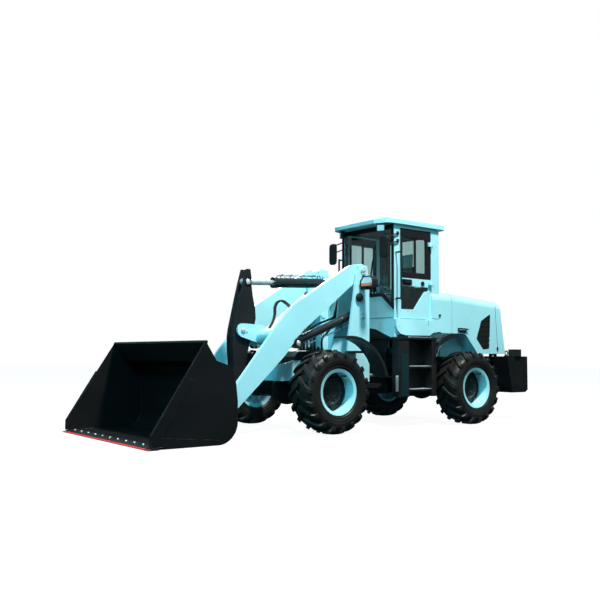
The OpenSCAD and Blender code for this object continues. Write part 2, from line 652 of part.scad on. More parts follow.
module step_treads() color([0.7, 0.7, 0.72]) row() both() {
  for (z = [514, 826]) block(well_b + 14, well_f - 16, box_in + 60, box_out, z, z + 5);
  block(well_b + 14, well_f - 26, 700, box_out + 8, deck_z, deck_z + 4);
}

arch_slope = [[rear_x - 300, arch_top], [rear_x - 369, arch_top - 42], [rear_x - 648, rail_top]];
arch_cut = concat([[cab_b + 10, rail_top - 60], [cab_b + 10, arch_top]], arch_slope, [[rear_x - 648,
  rail_top - 60]]);
house_path = concat([[cab_b - 20, rail_top], [cab_b - 20, arch_top]], arch_slope);
house_in = hood_half - 220;
module rear_fenders() color([0.32, 0.75, 0.75]) row() both() {
  slab(house_in - 1, hood_half - hood_t - side_gap) strip(house_path, -14);
  slab(house_in - 16, house_in) polygon(concat(house_path, [[rear_x - 648, rail_top]]));
}

// guards over the front of the rear tyres
guard_path = [[box_b - 6, 1153], [rear_x + 527, 1227], [rear_x + 325, 1291], [rear_x + 178, 1294]];
module rear_guards() color([0.06, 0.06, 0.07]) row() both() {
  slab(640, 900) strip(guard_path, 14);
  slab(885, 900) polygon([[box_b + 88, 1011], [rear_x + 527, 1227], [rear_x + 325, 1291], [rear_x + 178,
    1294],
    [rear_x + 180, 1262], [rear_x + 284, 1235], [rear_x + 382, 1200], [rear_x + 574, 1111],
      [rear_x + 605, 1068],
    [rear_x + 622, 1004]]);
  for (y = [690, 790]) slab(y, y + 16)
    polygon([[box_b, 1000], [box_b, 1140], [rear_x + 527, 1220], [rear_x + 325, 1284], [rear_x + 380,
      1200]]);
  for (i = [0 : 5]) translate([rear_x + 508 - i * 30, 0, 1232 + i * 9.5]) rotate([0, 17.6, 0])
    block(-7, 7, 650, 880, -4, 6);
}

// crown of the hood and the cowl across the machine, d inside the skin
function crown(d) = concat(
  [[-hood_half + d, 900]],
  [for (a = [180 : -15 : 90]) [-hood_half + crown_r, hood_top - crown_r - 8] + (crown_r - d) * [cos(a),
    sin(a)]],
  [[0, hood_top - d]],
  [for (a = [90 : -15 : 0]) [hood_half - crown_r, hood_top - crown_r - 8] + (crown_r - d) * [cos(a),
    sin(a)]],
  [[hood_half - d, 900]]);
module cowl() color([0.32, 0.75, 0.75]) row() difference() {
  intersection() {
    block(seam_x + 4, cab_b, -hood_half, hood_half, arch_top, hood_top);
    across(seam_x, cab_b + 1) polygon(crown(0));
  }
  across(seam_x - 1, cab_b + 1) polygon(crown(hood_t));
}

mirror_z = cab_top - 345;
module mirrors() color([0.05, 0.05, 0.06]) row() both() {
  block(cab_f + 183, cab_f + 207, cab_half - 92, cab_half + 68, mirror_z - 158, mirror_z + 158);
  for (z = [mirror_z + 105, mirror_z + 215]) {
    block(cab_f - 84, cab_f - 44, cab_half, cab_half + 14, z - 22, z + 22);
    translate([cab_f - 64, cab_half + 18, z]) rotate([0, 111, 0]) cylinder(r = 10, h = 275);
  }
}

module work_lamps() color([0.8, 0.82, 0.84]) row() both() {
  block(cab_f + 88, cab_f + 150, 372, 472, cab_top - 98, cab_top - 12);
  block(cab_f + 105, cab_f + 130, 405, 440, cab_top - 13, cab_top);
}

rail_z = sill_z + 256;
rail_h = 690;
rail_off = 105;
module grab_rails() color([0.05, 0.05, 0.06]) row() both() {
  translate([cab_f - 33, cab_half + rail_off, rail_z]) cylinder(r = 14, h = rail_h);
  for (z = [rail_z + 20, rail_z + rail_h - 20]) translate([cab_f - 33, cab_half, z]) rotate([-90, 0, 0])
    cylinder(r = 12, h = rail_off);
}

module rear_lamps() color([0.7, 0.1, 0.08]) row() both()
  block(cw_back + 270, cw_back + 410, cw_half - 113, cw_half + 27, cw_top, cw_top + 108);

hood_pin = [hood_b, cw_top + 31];
hinge_pin_r = 12;
hood_low = cw_top + 38;
hood_slope = 4;
// side outline of the hood, d inside the skin
function hood_side(d) = concat(
  [[seam_x - 4 + (d > 0 ? 10 : 0), d > 0 ? 900 : hood_low], [seam_x - 4 + (d > 0 ? 10 : 0),
    hood_top + 40]],
  [[hood_b + 538, hood_top + 40]],
  [for (a = [80 : 12 : 170]) [hood_b + 298, hood_top - 236] + (hood_nose - d) * [cos(a), sin(a)]],
  [[hood_b + d, hood_low - (d > 0 ? 40 : 0)]]);
module hood_form(d) intersection() {
  slab(-hood_half + d, hood_half - d) polygon(hood_side(d));
  translate([seam_x, 0, hood_top]) rotate([0, -hood_slope, 0]) translate([0, 0, -hood_top])
    across(-hood_len - 400, 60) polygon(crown(d));
}
module hood() color([0.32, 0.75, 0.75]) row() {
  hood_shell();
  hood_knuckles();
}
module hood_shell() difference() {
  hood_form(0);
  hood_form(hood_t);
  both() slab(hood_half - 16, hood_half + 1) polygon(vent_outline);
  both() slab(hood_half - hood_t - 1, hood_half + 1) polygon(arch_cut);
  both() block(hood_b - 62, hood_b + 58, 292, 428, cw_top - 22, cw_top + 84);
}
module hood_knuckles() both() difference() {
  union() {
    rod_y(hood_pin, 24, 332, 388);
    block(hood_b - 12, hood_b + 38, 332, 388, hood_pin[1], cw_top + 108);
  }
  rod_y(hood_pin, hinge_pin_r + run_gap, 300, 420);
}
vent_outline = [[hood_b + 354, hood_top - 284], [hood_b + 574, hood_top - 400], [hood_b + 687,
  hood_top - 678],
  [hood_b + 530, hood_top - 842], [hood_b + 381, hood_top - 827]];
module hood_vents() color([0.05, 0.05, 0.06]) row() both() {
  slab(hood_half - 16, hood_half - 10) polygon(vent_outline);
  intersection() {
    slab(hood_half - 12, hood_half - 1) polygon(vent_outline);
    union() {
      for (i = [0 : 7]) translate([0, 0, hood_top - 852 + i * 76])
        block(hood_b + 338, hood_b + 698, hood_half - 20, hood_half, 0, 20);
      for (i = [0 : 4]) translate([hood_b + 358 + i * 78, 0, 0])
        block(0, 14, hood_half - 20, hood_half, hood_top - 862, hood_top - 272);
    }
  }
}

door_front = cab_f - pillar_a;
door_rear = cab_b + pillar_c;
door_top = cab_top - 46;
hinge_x = door_rear - 14;
hinge_y = cab_half + 26;
hinge_zs = [belt_z + 34, door_top - 224];
door_kick = 60;
function door_outline(g) = [[door_front + g, sill_z - g], [door_front + g, door_top + g], [door_rear - g,
  door_top + g],
  [door_rear - g, belt_z], [door_rear + door_kick - g, sill_z - g]];
lower_glass = [[door_front - 20, sill_z + 132], [door_front - 20, belt_z], [door_rear + 20, belt_z],
  [door_rear + 20, belt_z - 52], [door_rear + 104, belt_z - 66], [door_rear + 328, sill_z + 132]];
module door_leaf() difference() {
  union() {
    slab(cab_half - cab_t, cab_half) polygon(door_outline(0));
    for (z = hinge_zs) {
      translate([hinge_x, hinge_y, z]) cylinder(r = hinge_pin_r + 8, h = 60);
      block(hinge_x, door_rear + 36, cab_half + 8, hinge_y + 6, z, z + 60);
      block(door_rear + 4, door_rear + 36, cab_half - 1, hinge_y + 6, z, z + 60);
    }
    block(door_front - 202, door_front - 82, cab_half, cab_half + 30, belt_z + 40, belt_z + 70);
  }
  block(door_rear + 52, door_front - 52, cab_half - cab_t - 1, cab_half + 1, belt_z + belt_h,
    door_top - 49);
  slab(cab_half - cab_t - 1, cab_half + 1) polygon(lower_glass);
  for (z = hinge_zs) translate([hinge_x, hinge_y, z - 1]) cylinder(r = hinge_pin_r + run_gap, h = 62);
}
module door_panes() {
  block(door_rear + 52, door_front - 52, cab_half - cab_t / 2 - glass_t / 2,
    cab_half - cab_t / 2 + glass_t / 2,
    belt_z + belt_h, door_top - 49);
  slab(cab_half - cab_t / 2 - glass_t / 2, cab_half - cab_t / 2 + glass_t / 2) polygon(lower_glass);
}
module door_left() color([0.32, 0.75, 0.75]) row() door_leaf();
module door_left_glass() color([0.35, 0.5, 0.55, 0.4]) row() door_panes();
module door_right() color([0.32, 0.75, 0.75]) row() mirror([0, 1, 0]) door_leaf();
module door_right_glass() color([0.35, 0.5, 0.55, 0.4]) row() mirror([0, 1, 0]) door_panes();

// wheels, drawn about +Z and turned onto the axle

half_w = tyre_w / 2;
base_r = tyre_r - lug_depth;
bead_r = rim_r - 12;
module tyre() {
  rotate_extrude() polygon([[bead_r, -half_w + 40], [bead_r + 30, -half_w + 18], [340, -half_w], [420,
    -half_w + 4],
    [base_r - 25, -half_w + 30], [base_r, -half_w + 70], [base_r, half_w - 70], [base_r - 25,
      half_w - 30],
    [420, half_w - 4], [340, half_w], [bead_r + 30, half_w - 18], [bead_r, half_w - 40]]);
  intersection() {
    rotate_extrude() polygon([[400, -half_w], [tyre_r - 40, -half_w], [tyre_r, -half_w + 40], [tyre_r,
      half_w - 40],
      [tyre_r - 40, half_w], [400, half_w]]);
    for (i = [0 : lug_count - 1]) {
      rotate([0, 0, i * 360 / lug_count - 90]) lug(1);
      rotate([0, 0, (i + 0.5) * 360 / lug_count - 90]) lug(-1);
    }
  }
}
module lug(s) translate([450, 0, s * 6]) rotate([s * lug_angle, 0, 0])
  translate([0, -lug_w / 2, s > 0 ? 0 : -300]) cube([120, lug_w, 300]);

module rim() {
  rotate_extrude() polygon([[rim_r - 26 - rim_wall, -half_w + 34], [rim_r, -half_w + 22], [rim_r,
    -half_w + 31],
    [bead_r - 1, -half_w + 40], [bead_r - 1, half_w - 40], [rim_r, half_w - 31], [rim_r, half_w - 22],
    [rim_r - 26 - rim_wall, half_w - 34]]);
  difference() {
    translate([0, 0, -20]) cylinder(r = rim_r - 30, h = 26);
    translate([0, 0, -141]) cylinder(r = hub_r - 1, h = 200);
  }
  difference() {
    translate([0, 0, -140]) cylinder(r = hub_r, h = 190);
    translate([0, 0, -141]) cylinder(r = 118 + side_gap, h = 135);
    translate([0, 0, -141]) cylinder(r = spindle_r + run_gap, h = 171);
  }
}
module wheel_at(x, s) row() translate([x, s * half_track, tyre_r]) rotate([-90 * s, 0, 0]) children();
module tyre_front_left() color([0.04, 0.04, 0.04]) wheel_at(0, 1) tyre();
module tyre_front_right() color([0.04, 0.04, 0.04]) wheel_at(0, -1) tyre();
module tyre_rear_left() color([0.04, 0.04, 0.04]) wheel_at(rear_x, 1) tyre();
module tyre_rear_right() color([0.04, 0.04, 0.04]) wheel_at(rear_x, -1) tyre();
module rim_front_left() color([0.3, 0.75, 0.75]) wheel_at(0, 1) rim();
module rim_front_right() color([0.3, 0.75, 0.75]) wheel_at(0, -1) rim();
module rim_rear_left() color([0.3, 0.75, 0.75]) wheel_at(rear_x, 1) rim();
module rim_rear_right() color([0.3, 0.75, 0.75]) wheel_at(rear_x, -1) rim();

front_frame();
front_axle();
front_fenders();
headlamps();
boom();
bellcrank();
tilt_link();
bucket();
cutting_edge();
lift_barrel_left();
lift_rod_left();
lift_barrel_right();
lift_rod_right();
tilt_barrel();
tilt_rod();
rear_chassis();
rear_axle();
drive_unit();
battery_pack();
counterweight();
steer_barrel_left();
steer_rod_left();
steer_barrel_right();
steer_rod_right();
cab_frame();
cab_roof();
cab_glass();
seat();
console();
side_boxes();
step_treads();
rear_fenders();
rear_guards();
cowl();
mirrors();
work_lamps();
grab_rails();
rear_lamps();
hood();
hood_vents();
door_left();
door_left_glass();
door_right();
door_right_glass();
tyre_front_left();
rim_front_left();
tyre_front_right();
rim_front_right();
tyre_rear_left();
rim_rear_left();
tyre_rear_right();
rim_rear_right();
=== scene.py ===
# %% [markdown]
# # A compact wheel loader
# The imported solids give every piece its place, size and motion. This lesson dresses them: it sets the
# photograph's camera, mixes the paints and rubbers, and then adds the fittings that make a working machine.

# %% Load the frame
import math

import bmesh
import bpy
from mathutils import Matrix, Vector


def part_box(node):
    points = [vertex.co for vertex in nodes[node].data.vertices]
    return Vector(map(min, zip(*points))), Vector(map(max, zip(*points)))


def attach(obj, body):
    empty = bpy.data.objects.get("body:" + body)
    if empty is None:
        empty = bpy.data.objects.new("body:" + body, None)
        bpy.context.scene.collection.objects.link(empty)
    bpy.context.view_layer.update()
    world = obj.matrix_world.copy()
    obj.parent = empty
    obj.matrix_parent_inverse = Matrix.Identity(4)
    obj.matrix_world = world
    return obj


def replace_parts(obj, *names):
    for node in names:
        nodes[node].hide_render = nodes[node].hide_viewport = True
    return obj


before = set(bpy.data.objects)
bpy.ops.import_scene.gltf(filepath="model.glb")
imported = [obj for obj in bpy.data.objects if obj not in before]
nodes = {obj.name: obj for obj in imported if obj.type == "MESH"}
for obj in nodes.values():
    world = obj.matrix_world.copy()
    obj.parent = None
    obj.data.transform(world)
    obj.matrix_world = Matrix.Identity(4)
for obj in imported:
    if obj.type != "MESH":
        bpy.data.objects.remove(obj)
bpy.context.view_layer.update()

# %% [markdown]
# ## One place to measure from
# The machine is drawn from its front axle, in millimetres, because loader drawings are. One helper turns such
# a point into Blender's metres. The axle is read from the front tyre's box, so nothing here depends on a
# typed shift.


# %% Places in millimetres from the front axle
def middle(node):
    low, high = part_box(node)
    return (low + high) / 2


AXLE = middle("tyre_front_left")
WHEEL_Y, WHEEL_Z = AXLE.y * 1000, AXLE.z * 1000


def at(x, y, z):
    return Vector((AXLE.x + x / 1000, y / 1000, z / 1000))


def to_mm(point):
    return Vector((point.x - AXLE.x, point.y, point.z)) * 1000


def low_mm(node):
    return to_mm(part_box(node)[0])


def high_mm(node):
    return to_mm(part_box(node)[1])


print("axle height", round(WHEEL_Z), "mm, half track", round(WHEEL_Y), "mm")

# %% [markdown]
# ## Camera
# A camera is five facts: where it stands, where it points, how it is rolled, and how long its lens is. They
# were worked out from the wheel lips, the bucket's corners and the cab's edges, so the render lines up with
# the photograph.

# %% Camera at the photograph's viewpoint
CAMERA_PLACE = Vector((6.898, 8.2368, 0.9687))
CAMERA_YAW = -2.2254
CAMERA_PITCH = 0.0720
CAMERA_ROLL = 0.0061
LENS_MM, SENSOR_MM = 45.96, 36
SEES_TO_M = 200

ahead = Vector((
    math.cos(CAMERA_YAW) * math.cos(CAMERA_PITCH),
    math.sin(CAMERA_YAW) * math.cos(CAMERA_PITCH),
    math.sin(CAMERA_PITCH),
))
level = Vector((math.sin(CAMERA_YAW), -math.cos(CAMERA_YAW), 0))
above = level.cross(ahead)
right = level * math.cos(CAMERA_ROLL) + above * math.sin(CAMERA_ROLL)
up = above * math.cos(CAMERA_ROLL) - level * math.sin(CAMERA_ROLL)
camera = bpy.data.objects.new("camera", bpy.data.cameras.new("camera"))
camera.data.lens = LENS_MM
camera.data.sensor_width = SENSOR_MM
camera.data.clip_end = SEES_TO_M
camera.matrix_world = Matrix.Translation(CAMERA_PLACE) @ Matrix((right, up, -ahead)).transposed().to_4x4()
bpy.context.scene.collection.objects.link(camera)
bpy.context.scene.camera = camera
print("camera at", tuple(round(n, 2) for n in CAMERA_PLACE), "lens", LENS_MM, "mm")

# %% [markdown]
# ## Nodes
# The sky, the shared effects and the finishes are all small graphs of nodes. They could be wired one link at a
# time. One helper that adds a node and feeds each input, with a number or with another node's output, keeps
# every graph to a few lines.

# %% Helpers for nodes
def feed(tree, made, fed):
    for label, value in fed.items():
        if isinstance(value, bpy.types.NodeSocket):
            tree.links.new(value, made.inputs[label])
        else:
            made.inputs[label].default_value = value


def node(tree, kind, fed=None, **options):
    made = tree.nodes.new("ShaderNode" + kind)
    for label, value in options.items():
        setattr(made, label, value)
    feed(tree, made, fed or {})
    return made


def noise_at(tree, scale, detail):
    place = node(tree, "TexCoord").outputs["Object"]
    return node(tree, "TexNoise", {"Vector": place, "Scale": scale, "Detail": detail}).outputs["Fac"]


def spread(tree, value, low, high, to_low=0.0, to_high=1.0):
    limits = {"Value": value, "From Min": low, "From Max": high, "To Min": to_low, "To Max": to_high}
    return node(tree, "MapRange", limits, clamp=True).outputs["Result"]


def product(tree, one, two):
    return node(tree, "Math", {0: one, 1: two}, operation="MULTIPLY").outputs[0]


def blend_colours(tree, factor, below, over):
    return node(tree, "Mix", {"Factor": factor, "A": below, "B": over}, data_type="RGBA").outputs["Result"]


# %% [markdown]
# ## Studio
# The photograph was taken in strong sun and cut out on white. A big soft key light high on the machine's left
# stands for the sun and a weaker one fills the front. The surround is a sky: bright overhead and dim below
# the horizon, so undersides stay dark although the floor itself shows white.

# %% Lights and surround
SKY_BLUE, WHITE = (0.42, 0.85, 1, 1), (1, 1, 1, 1)


def soft_light(name, place, target, size, watts, colour=(1, 1, 1)):
    lamp = bpy.data.lights.new(name, "AREA")
    lamp.shape = "DISK"
    lamp.size = size
    lamp.energy = watts
    lamp.color = colour
    holder = bpy.data.objects.new(name, lamp)
    holder.location = place
    holder.rotation_euler = (Vector(target) - Vector(place)).to_track_quat("-Z", "Y").to_euler()
    bpy.context.scene.collection.objects.link(holder)


soft_light("key", (0.4, 5.4, 13.0), (0, 0, 1.2), 1.4, 3820, (1.0, 0.92, 0.85))
soft_light("front_fill", (8.0, 4.5, 6.0), (-0.5, 0, 1.3), 3.0, 540, (0.18, 0.80, 1.0))
soft_light("back_rim", (-4.0, -9.0, 7.0), (0, 0, 1.2), 4.0, 620)

world = bpy.data.worlds.new("surround")
world.use_nodes = True
sky = world.node_tree
upward = node(sky, "SeparateXYZ", {0: node(sky, "TexCoord").outputs["Generated"]}).outputs["Z"]
surround = sky.nodes["Background"]
feed(sky, surround, {"Color": SKY_BLUE, "Strength": spread(sky, upward, -0.15, 0.7, 0.10, 0.62)})
ray = node(sky, "LightPath").outputs
seen = node(sky, "Math", {0: ray["Is Camera Ray"], 1: ray["Is Transmission Ray"]}, operation="MAXIMUM")
backdrop = node(sky, "Background", {"Color": WHITE, "Strength": 1.0})
choose = node(sky, "MixShader", {0: seen.outputs[0], 1: surround.outputs[0], 2: backdrop.outputs[0]})
feed(sky, sky.nodes["World Output"], {"Surface": choose.outputs[0]})
bpy.context.scene.world = world
bpy.context.scene.view_settings.view_transform = "Standard"
print("lights:", [lamp.name for lamp in bpy.data.lights])

# %% [markdown]
# ## Effects that several finishes share
# Paint is never one flat colour. Its tone drifts over a panel, corners rub through to steel, and dust settles
# low down. Each of these is a node group, built once and given its own numbers in every material that uses
# it.

# %% Node groups: tone, wear, dust and grain
def node_group(name, inputs, outputs):
    tree = bpy.data.node_groups.new(name, "ShaderNodeTree")
    for way, sockets in (("INPUT", inputs), ("OUTPUT", outputs)):
        for label, kind in sockets.items():
            tree.interface.new_socket(name=label, in_out=way, socket_type="NodeSocket" + kind)
    return tree, tree.nodes.new("NodeGroupInput").outputs, tree.nodes.new("NodeGroupOutput")


tone, tone_in, tone_out = node_group("uneven_tone", {"Colour": "Color", "Scale": "Float"}, {"Colour": "Color"})
patches = spread(tone, noise_at(tone, tone_in["Scale"], 3.0), 0.3, 0.7, 0.93, 1.06)
shade = node(tone, "HueSaturation", {"Color": tone_in["Colour"], "Value": patches})
feed(tone, tone_out, {"Colour": shade.outputs["Color"]})

wear, wear_in, wear_out = node_group("edge_wear", {"Amount": "Float", "Scale": "Float"}, {"Mask": "Float"})
flat = node(wear, "NewGeometry").outputs["Normal"]
eased = node(wear, "Bevel", {"Radius": 0.006}, samples=6).outputs["Normal"]
bend = node(wear, "VectorMath", {0: flat, 1: eased}, operation="DOT_PRODUCT").outputs["Value"]
edges = spread(wear, bend, 0.97, 0.86)
chips = spread(wear, noise_at(wear, wear_in["Scale"], 6.0), 0.48, 0.62)
feed(wear, wear_out, {"Mask": product(wear, product(wear, edges, chips), wear_in["Amount"])})

dust, dust_in, dust_out = node_group("dust_film", {"Amount": "Float", "Reach": "Float"}, {"Mask": "Float"})
height = node(dust, "SeparateXYZ", {0: node(dust, "TexCoord").outputs["Object"]}).outputs["Z"]
fall = spread(dust, height, 0.0, dust_in["Reach"], 1.0, 0.12)
cloud = spread(dust, noise_at(dust, 5.0, 8.0), 0.38, 0.72)
feed(dust, dust_out, {"Mask": product(dust, product(dust, cloud, fall), dust_in["Amount"])})

grain, grain_in, grain_out = node_group("fine_grain", {"Scale": "Float"}, {"Height": "Float", "Blotch": "Float"})
feed(grain, grain_out, {"Height": noise_at(grain, grain_in["Scale"], 3.0), "Blotch": noise_at(grain, 3.0, 5.0)})
print("node groups:", [g.name for g in bpy.data.node_groups])

# %% [markdown]
# ## Finishes
# Every finish is one call: a base colour, how rough it is, how far its roughness drifts, and how much wear,
# dust and grain it carries. What stays the same over a surface is typed on the shader itself.

# %% The recipe for a finish
DUST = (0.42, 0.39, 0.34, 1)
BARE_STEEL = (0.34, 0.34, 0.35, 1)
WEAR_SCALE, DUST_REACH_M, GRAIN_DEPTH_M = 38.0, 1.3, 0.002


def finish(name, colour, rough, drift=0.08, worn=0.0, dusty=0.0, grain_scale=90.0, bump=0.0, tone_scale=1.4,
           under=BARE_STEEL, **shader_values):
    material = bpy.data.materials.new(name)
    material.use_nodes = True
    tree = material.node_tree
    drawn = node(tree, "Group", {"Colour": (*colour, 1), "Scale": tone_scale}, node_tree=tone).outputs["Colour"]
    if worn:
        rubbed = node(tree, "Group", {"Amount": worn, "Scale": WEAR_SCALE}, node_tree=wear)
        drawn = blend_colours(tree, rubbed.outputs["Mask"], drawn, under)
    if dusty:
        settled = node(tree, "Group", {"Amount": dusty, "Reach": DUST_REACH_M}, node_tree=dust)
        drawn = blend_colours(tree, settled.outputs["Mask"], drawn, DUST)
    film = node(tree, "Group", {"Scale": grain_scale}, node_tree=grain).outputs
    fed = {label.replace("_", " "): value for label, value in shader_values.items()}
    fed["Base Color"] = drawn
    fed["Roughness"] = spread(tree, film["Blotch"], 0.3, 0.7, rough - drift, rough + drift)
    if bump:
        relief = {"Strength": bump, "Distance": GRAIN_DEPTH_M, "Height": film["Height"]}
        fed["Normal"] = node(tree, "Bump", relief).outputs["Normal"]
    feed(tree, tree.nodes["Principled BSDF"], fed)
    return material


# %% Paints, metals, rubbers and lenses
TURQUOISE = (0.34, 0.70, 0.765)
LENS = dict(drift=0.03, grain_scale=60, bump=0.3, Coat_Weight=1.0)
paint = finish("turquoise_paint", TURQUOISE, 0.34, worn=0.25, dusty=0.10, grain_scale=160, bump=0.05,
               Coat_Weight=0.4, Coat_Roughness=0.12)
# painted shade: a darkened copy of the turquoise paint, for teal parts that are seen in shade
painted_shade_paint = finish("painted_shade_turquoise_paint", (0.001, 0.015, 0.017), 0.36, dusty=0.02,
                    Coat_Weight=0.3, Coat_Roughness=0.15)
black_paint = finish("satin_black_paint", (0.010, 0.010, 0.011), 0.36, worn=0.22, dusty=0.03, grain_scale=140,
                     bump=0.05, Specular_IOR_Level=0.25)
bucket_paint = finish("bucket_black_paint", (0.006, 0.006, 0.0065), 0.46, worn=0.25, grain_scale=45, bump=0.08,
                      Specular_IOR_Level=0.15)
gloss_black = finish("gloss_black_paint", (0.008, 0.008, 0.009), 0.20, drift=0.05, worn=0.15, grain_scale=160,
                     bump=0.04, Coat_Weight=0.5, Coat_Roughness=0.08)
cast_paint = finish("cast_iron_paint", (0.006, 0.006, 0.0065), 0.52, worn=0.15, dusty=0.02, grain_scale=60,
                    bump=0.3, Specular_IOR_Level=0.12)
rubber = finish("tyre_rubber", (0.009, 0.007, 0.0065), 0.44, worn=0.35, dusty=0.03, grain_scale=70, bump=0.2,
                under=(0.05, 0.05, 0.05, 1), Specular_IOR_Level=0.22)
hose_rubber = finish("hose_rubber", (0.012, 0.012, 0.012), 0.55, grain_scale=420, bump=0.3)
trim = finish("moulded_trim", (0.011, 0.011, 0.012), 0.48, grain_scale=320, bump=0.22, Specular_IOR_Level=0.25)
guard_plastic = finish("glossy_guard_plastic", (0.010, 0.010, 0.011), 0.30, drift=0.06,
                       grain_scale=300, bump=0.1)
seal = finish("window_seal", (0.007, 0.007, 0.008), 0.62, grain_scale=260, bump=0.15, Specular_IOR_Level=0.2)
chrome = finish("chromed_rod", (0.88, 0.88, 0.90), 0.20, drift=0.05, Metallic=0.8)
steel = finish("worn_steel", (0.34, 0.34, 0.35), 0.38, drift=0.14, grain_scale=120, bump=0.2, Metallic=1.0)
zinc = finish("zinc_plate", (0.74, 0.74, 0.76), 0.34, drift=0.10, grain_scale=90, bump=0.12,
              tone_scale=30.0, Metallic=0.7)
edge_steel = finish("edge_steel", (0.030, 0.029, 0.030), 0.42, worn=0.9, grain_scale=80, bump=0.2, Metallic=0.6)
vinyl = finish("seat_vinyl", (0.016, 0.016, 0.017), 0.52, grain_scale=240, bump=0.35)
lining = finish("cab_lining", (0.022, 0.036, 0.046), 0.72, grain_scale=260, bump=0.25, Specular_IOR_Level=0.2)
cover = finish("seat_cover", (0.10, 0.42, 0.45), 0.60, grain_scale=300, bump=0.3)
red_stripe = finish("red_stripe", (0.55, 0.02, 0.02), 0.42, worn=0.5, grain_scale=90, bump=0.1)
# painted light: the clear and amber lenses glow faintly though the lamps are off, a painted glow that brightens
# them in shade
clear_lens_painted_glow = finish("clear_lens_painted_glow", (0.80, 0.82, 0.84), 0.08, **LENS,
                    Emission_Color=(0.9, 0.95, 1, 1), Emission_Strength=0.12)
amber_lens_painted_glow = finish("amber_lens_painted_glow", (0.80, 0.17, 0.02), 0.14, **LENS,
                    Emission_Color=(1, 0.16, 0.01, 1), Emission_Strength=0.25)
red_lens = finish("red_lens", (0.42, 0.015, 0.012), 0.14, **LENS)
looking_glass = finish("looking_glass", (0.75, 0.77, 0.78), 0.04, drift=0.02, Metallic=1.0)
glass = finish("tinted_glass", (0.51, 0.655, 0.65), 0.03, drift=0.02, Transmission_Weight=1.0, IOR=1.35)
floor_paint = finish("pale_floor", (0.10, 0.10, 0.10), 0.9, grain_scale=20, bump=0.05, Specular_IOR_Level=0.0,
                     Emission_Color=WHITE, Emission_Strength=0.94)
print("finishes:", len(bpy.data.materials))

# %% [markdown]
# ## Finishes on the solids
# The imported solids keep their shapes. Each takes a finish, and two modifiers take off the razor edges that no
# real plate has: a bevel rounds them and weighted normals keep the flats flat.

# %% Finishes and eased edges for the solids
FINISH_OF = {
    paint: ["front_frame", "boom", "cab_frame", "cab_roof", "rear_fenders", "cowl", "hood", "door_left",
            "door_right", "rim_front_left", "rim_front_right", "rim_rear_left",
            "rim_rear_right"],
    cast_paint: ["front_axle", "rear_axle", "counterweight", "drive_unit", "battery_pack"],
    black_paint: ["bellcrank", "tilt_link", "rear_chassis", "side_boxes"],
    gloss_black: ["lift_barrel_left", "lift_barrel_right", "tilt_barrel", "steer_barrel_left",
                  "steer_barrel_right"],
    bucket_paint: ["bucket"],
    edge_steel: ["cutting_edge"],
    zinc: ["step_treads"],
    chrome: ["lift_rod_left", "lift_rod_right", "tilt_rod", "steer_rod_left", "steer_rod_right"],
    glass: ["cab_glass", "door_left_glass", "door_right_glass"],
    guard_plastic: ["front_fenders", "rear_guards"],
    trim: ["mirrors", "grab_rails", "console", "hood_vents", "headlamps", "work_lamps", "rear_lamps"],
    vinyl: ["seat"],
    rubber: ["tyre_front_left", "tyre_front_right", "tyre_rear_left", "tyre_rear_right"],
}
EASE_MM = {"bucket": 5, "counterweight": 10, "cab_roof": 9, "cab_frame": 6, "hood": 4, "boom": 5,
           "front_frame": 5, "bellcrank": 6, "front_fenders": 3, "side_boxes": 5, "door_left": 4,
           "door_right": 4}
SHARP = {"cab_glass", "door_left_glass", "door_right_glass", "hood_vents", "step_treads"}
EASE_ANGLE, PLAIN_EASE_MM = math.radians(32), 3
SAME_PLACE = 0.00002


def ease_edges(made, width, weld=False):
    if weld:
        joined = made.modifiers.new("join", "WELD")
        joined.merge_threshold = SAME_PLACE
    bevel = made.modifiers.new("ease", "BEVEL")
    bevel.width = width
    bevel.segments = 2
    bevel.limit_method = "ANGLE"
    bevel.angle_limit = EASE_ANGLE
    bevel.use_clamp_overlap = True
    normals = made.modifiers.new("normals", "WEIGHTED_NORMAL")
    normals.keep_sharp = True


for material, names in FINISH_OF.items():
    for name in names:
        mesh = nodes[name].data
        mesh.materials.clear()
        mesh.materials.append(material)
        if name not in SHARP:
            ease_edges(nodes[name], EASE_MM.get(name, PLAIN_EASE_MM) / 1000, weld=True)
print("solids with a finish:", sum(len(names) for names in FINISH_OF.values()))

# %% [markdown]
# ## Tools for fittings
# Small fittings are all made in a few ways: a flat outline drawn out into a plate, a profile turned on a lathe,
# a tube bent along a path, a ring between two outlines. Each way is one helper that adds to a mesh, and one last
# helper turns the mesh into a piece that rides on a body. A piece takes the name of the function that draws it,
# and a left piece is mirrored for the right side.

# %% Plates, rings, lathe work and tubes
X, Y, Z = (1, 0, 0), (0, 1, 0), (0, 0, 1)
TIP = 0.01  # a lathe profile that closes on its axis ends at this radius, so that every face keeps four corners


def outline_area(outline):
    following = outline[1:] + outline[:1]
    return sum(a[0] * b[1] - b[0] * a[1] for a, b in zip(outline, following)) / 2


def inset(outline, depth):
    sign = 1 if outline_area(outline) > 0 else -1
    count = len(outline)
    moved = []
    for i in range(count):
        here = Vector(outline[i])
        before = (here - Vector(outline[i - 1])).normalized()
        after = (Vector(outline[(i + 1) % count]) - here).normalized()
        left_before = Vector((-before.y, before.x)) * sign
        left_after = Vector((-after.y, after.x)) * sign
        middle_way = (left_before + left_after).normalized()
        moved.append(tuple(here + middle_way * depth / max(middle_way.dot(left_before), 0.2)))
    return moved


def rounded(outline, radius, steps=4):
    count = len(outline)
    soft = []
    for i in range(count):
        here = Vector(outline[i])
        back = Vector(outline[i - 1]) - here
        on = Vector(outline[(i + 1) % count]) - here
        start = here + back.normalized() * min(radius, back.length * 0.45)
        end = here + on.normalized() * min(radius, on.length * 0.45)
        for k in range(steps + 1):
            t = k / steps
            soft.append(tuple(start * (1 - t) ** 2 + here * 2 * t * (1 - t) + end * t ** 2))
    return soft


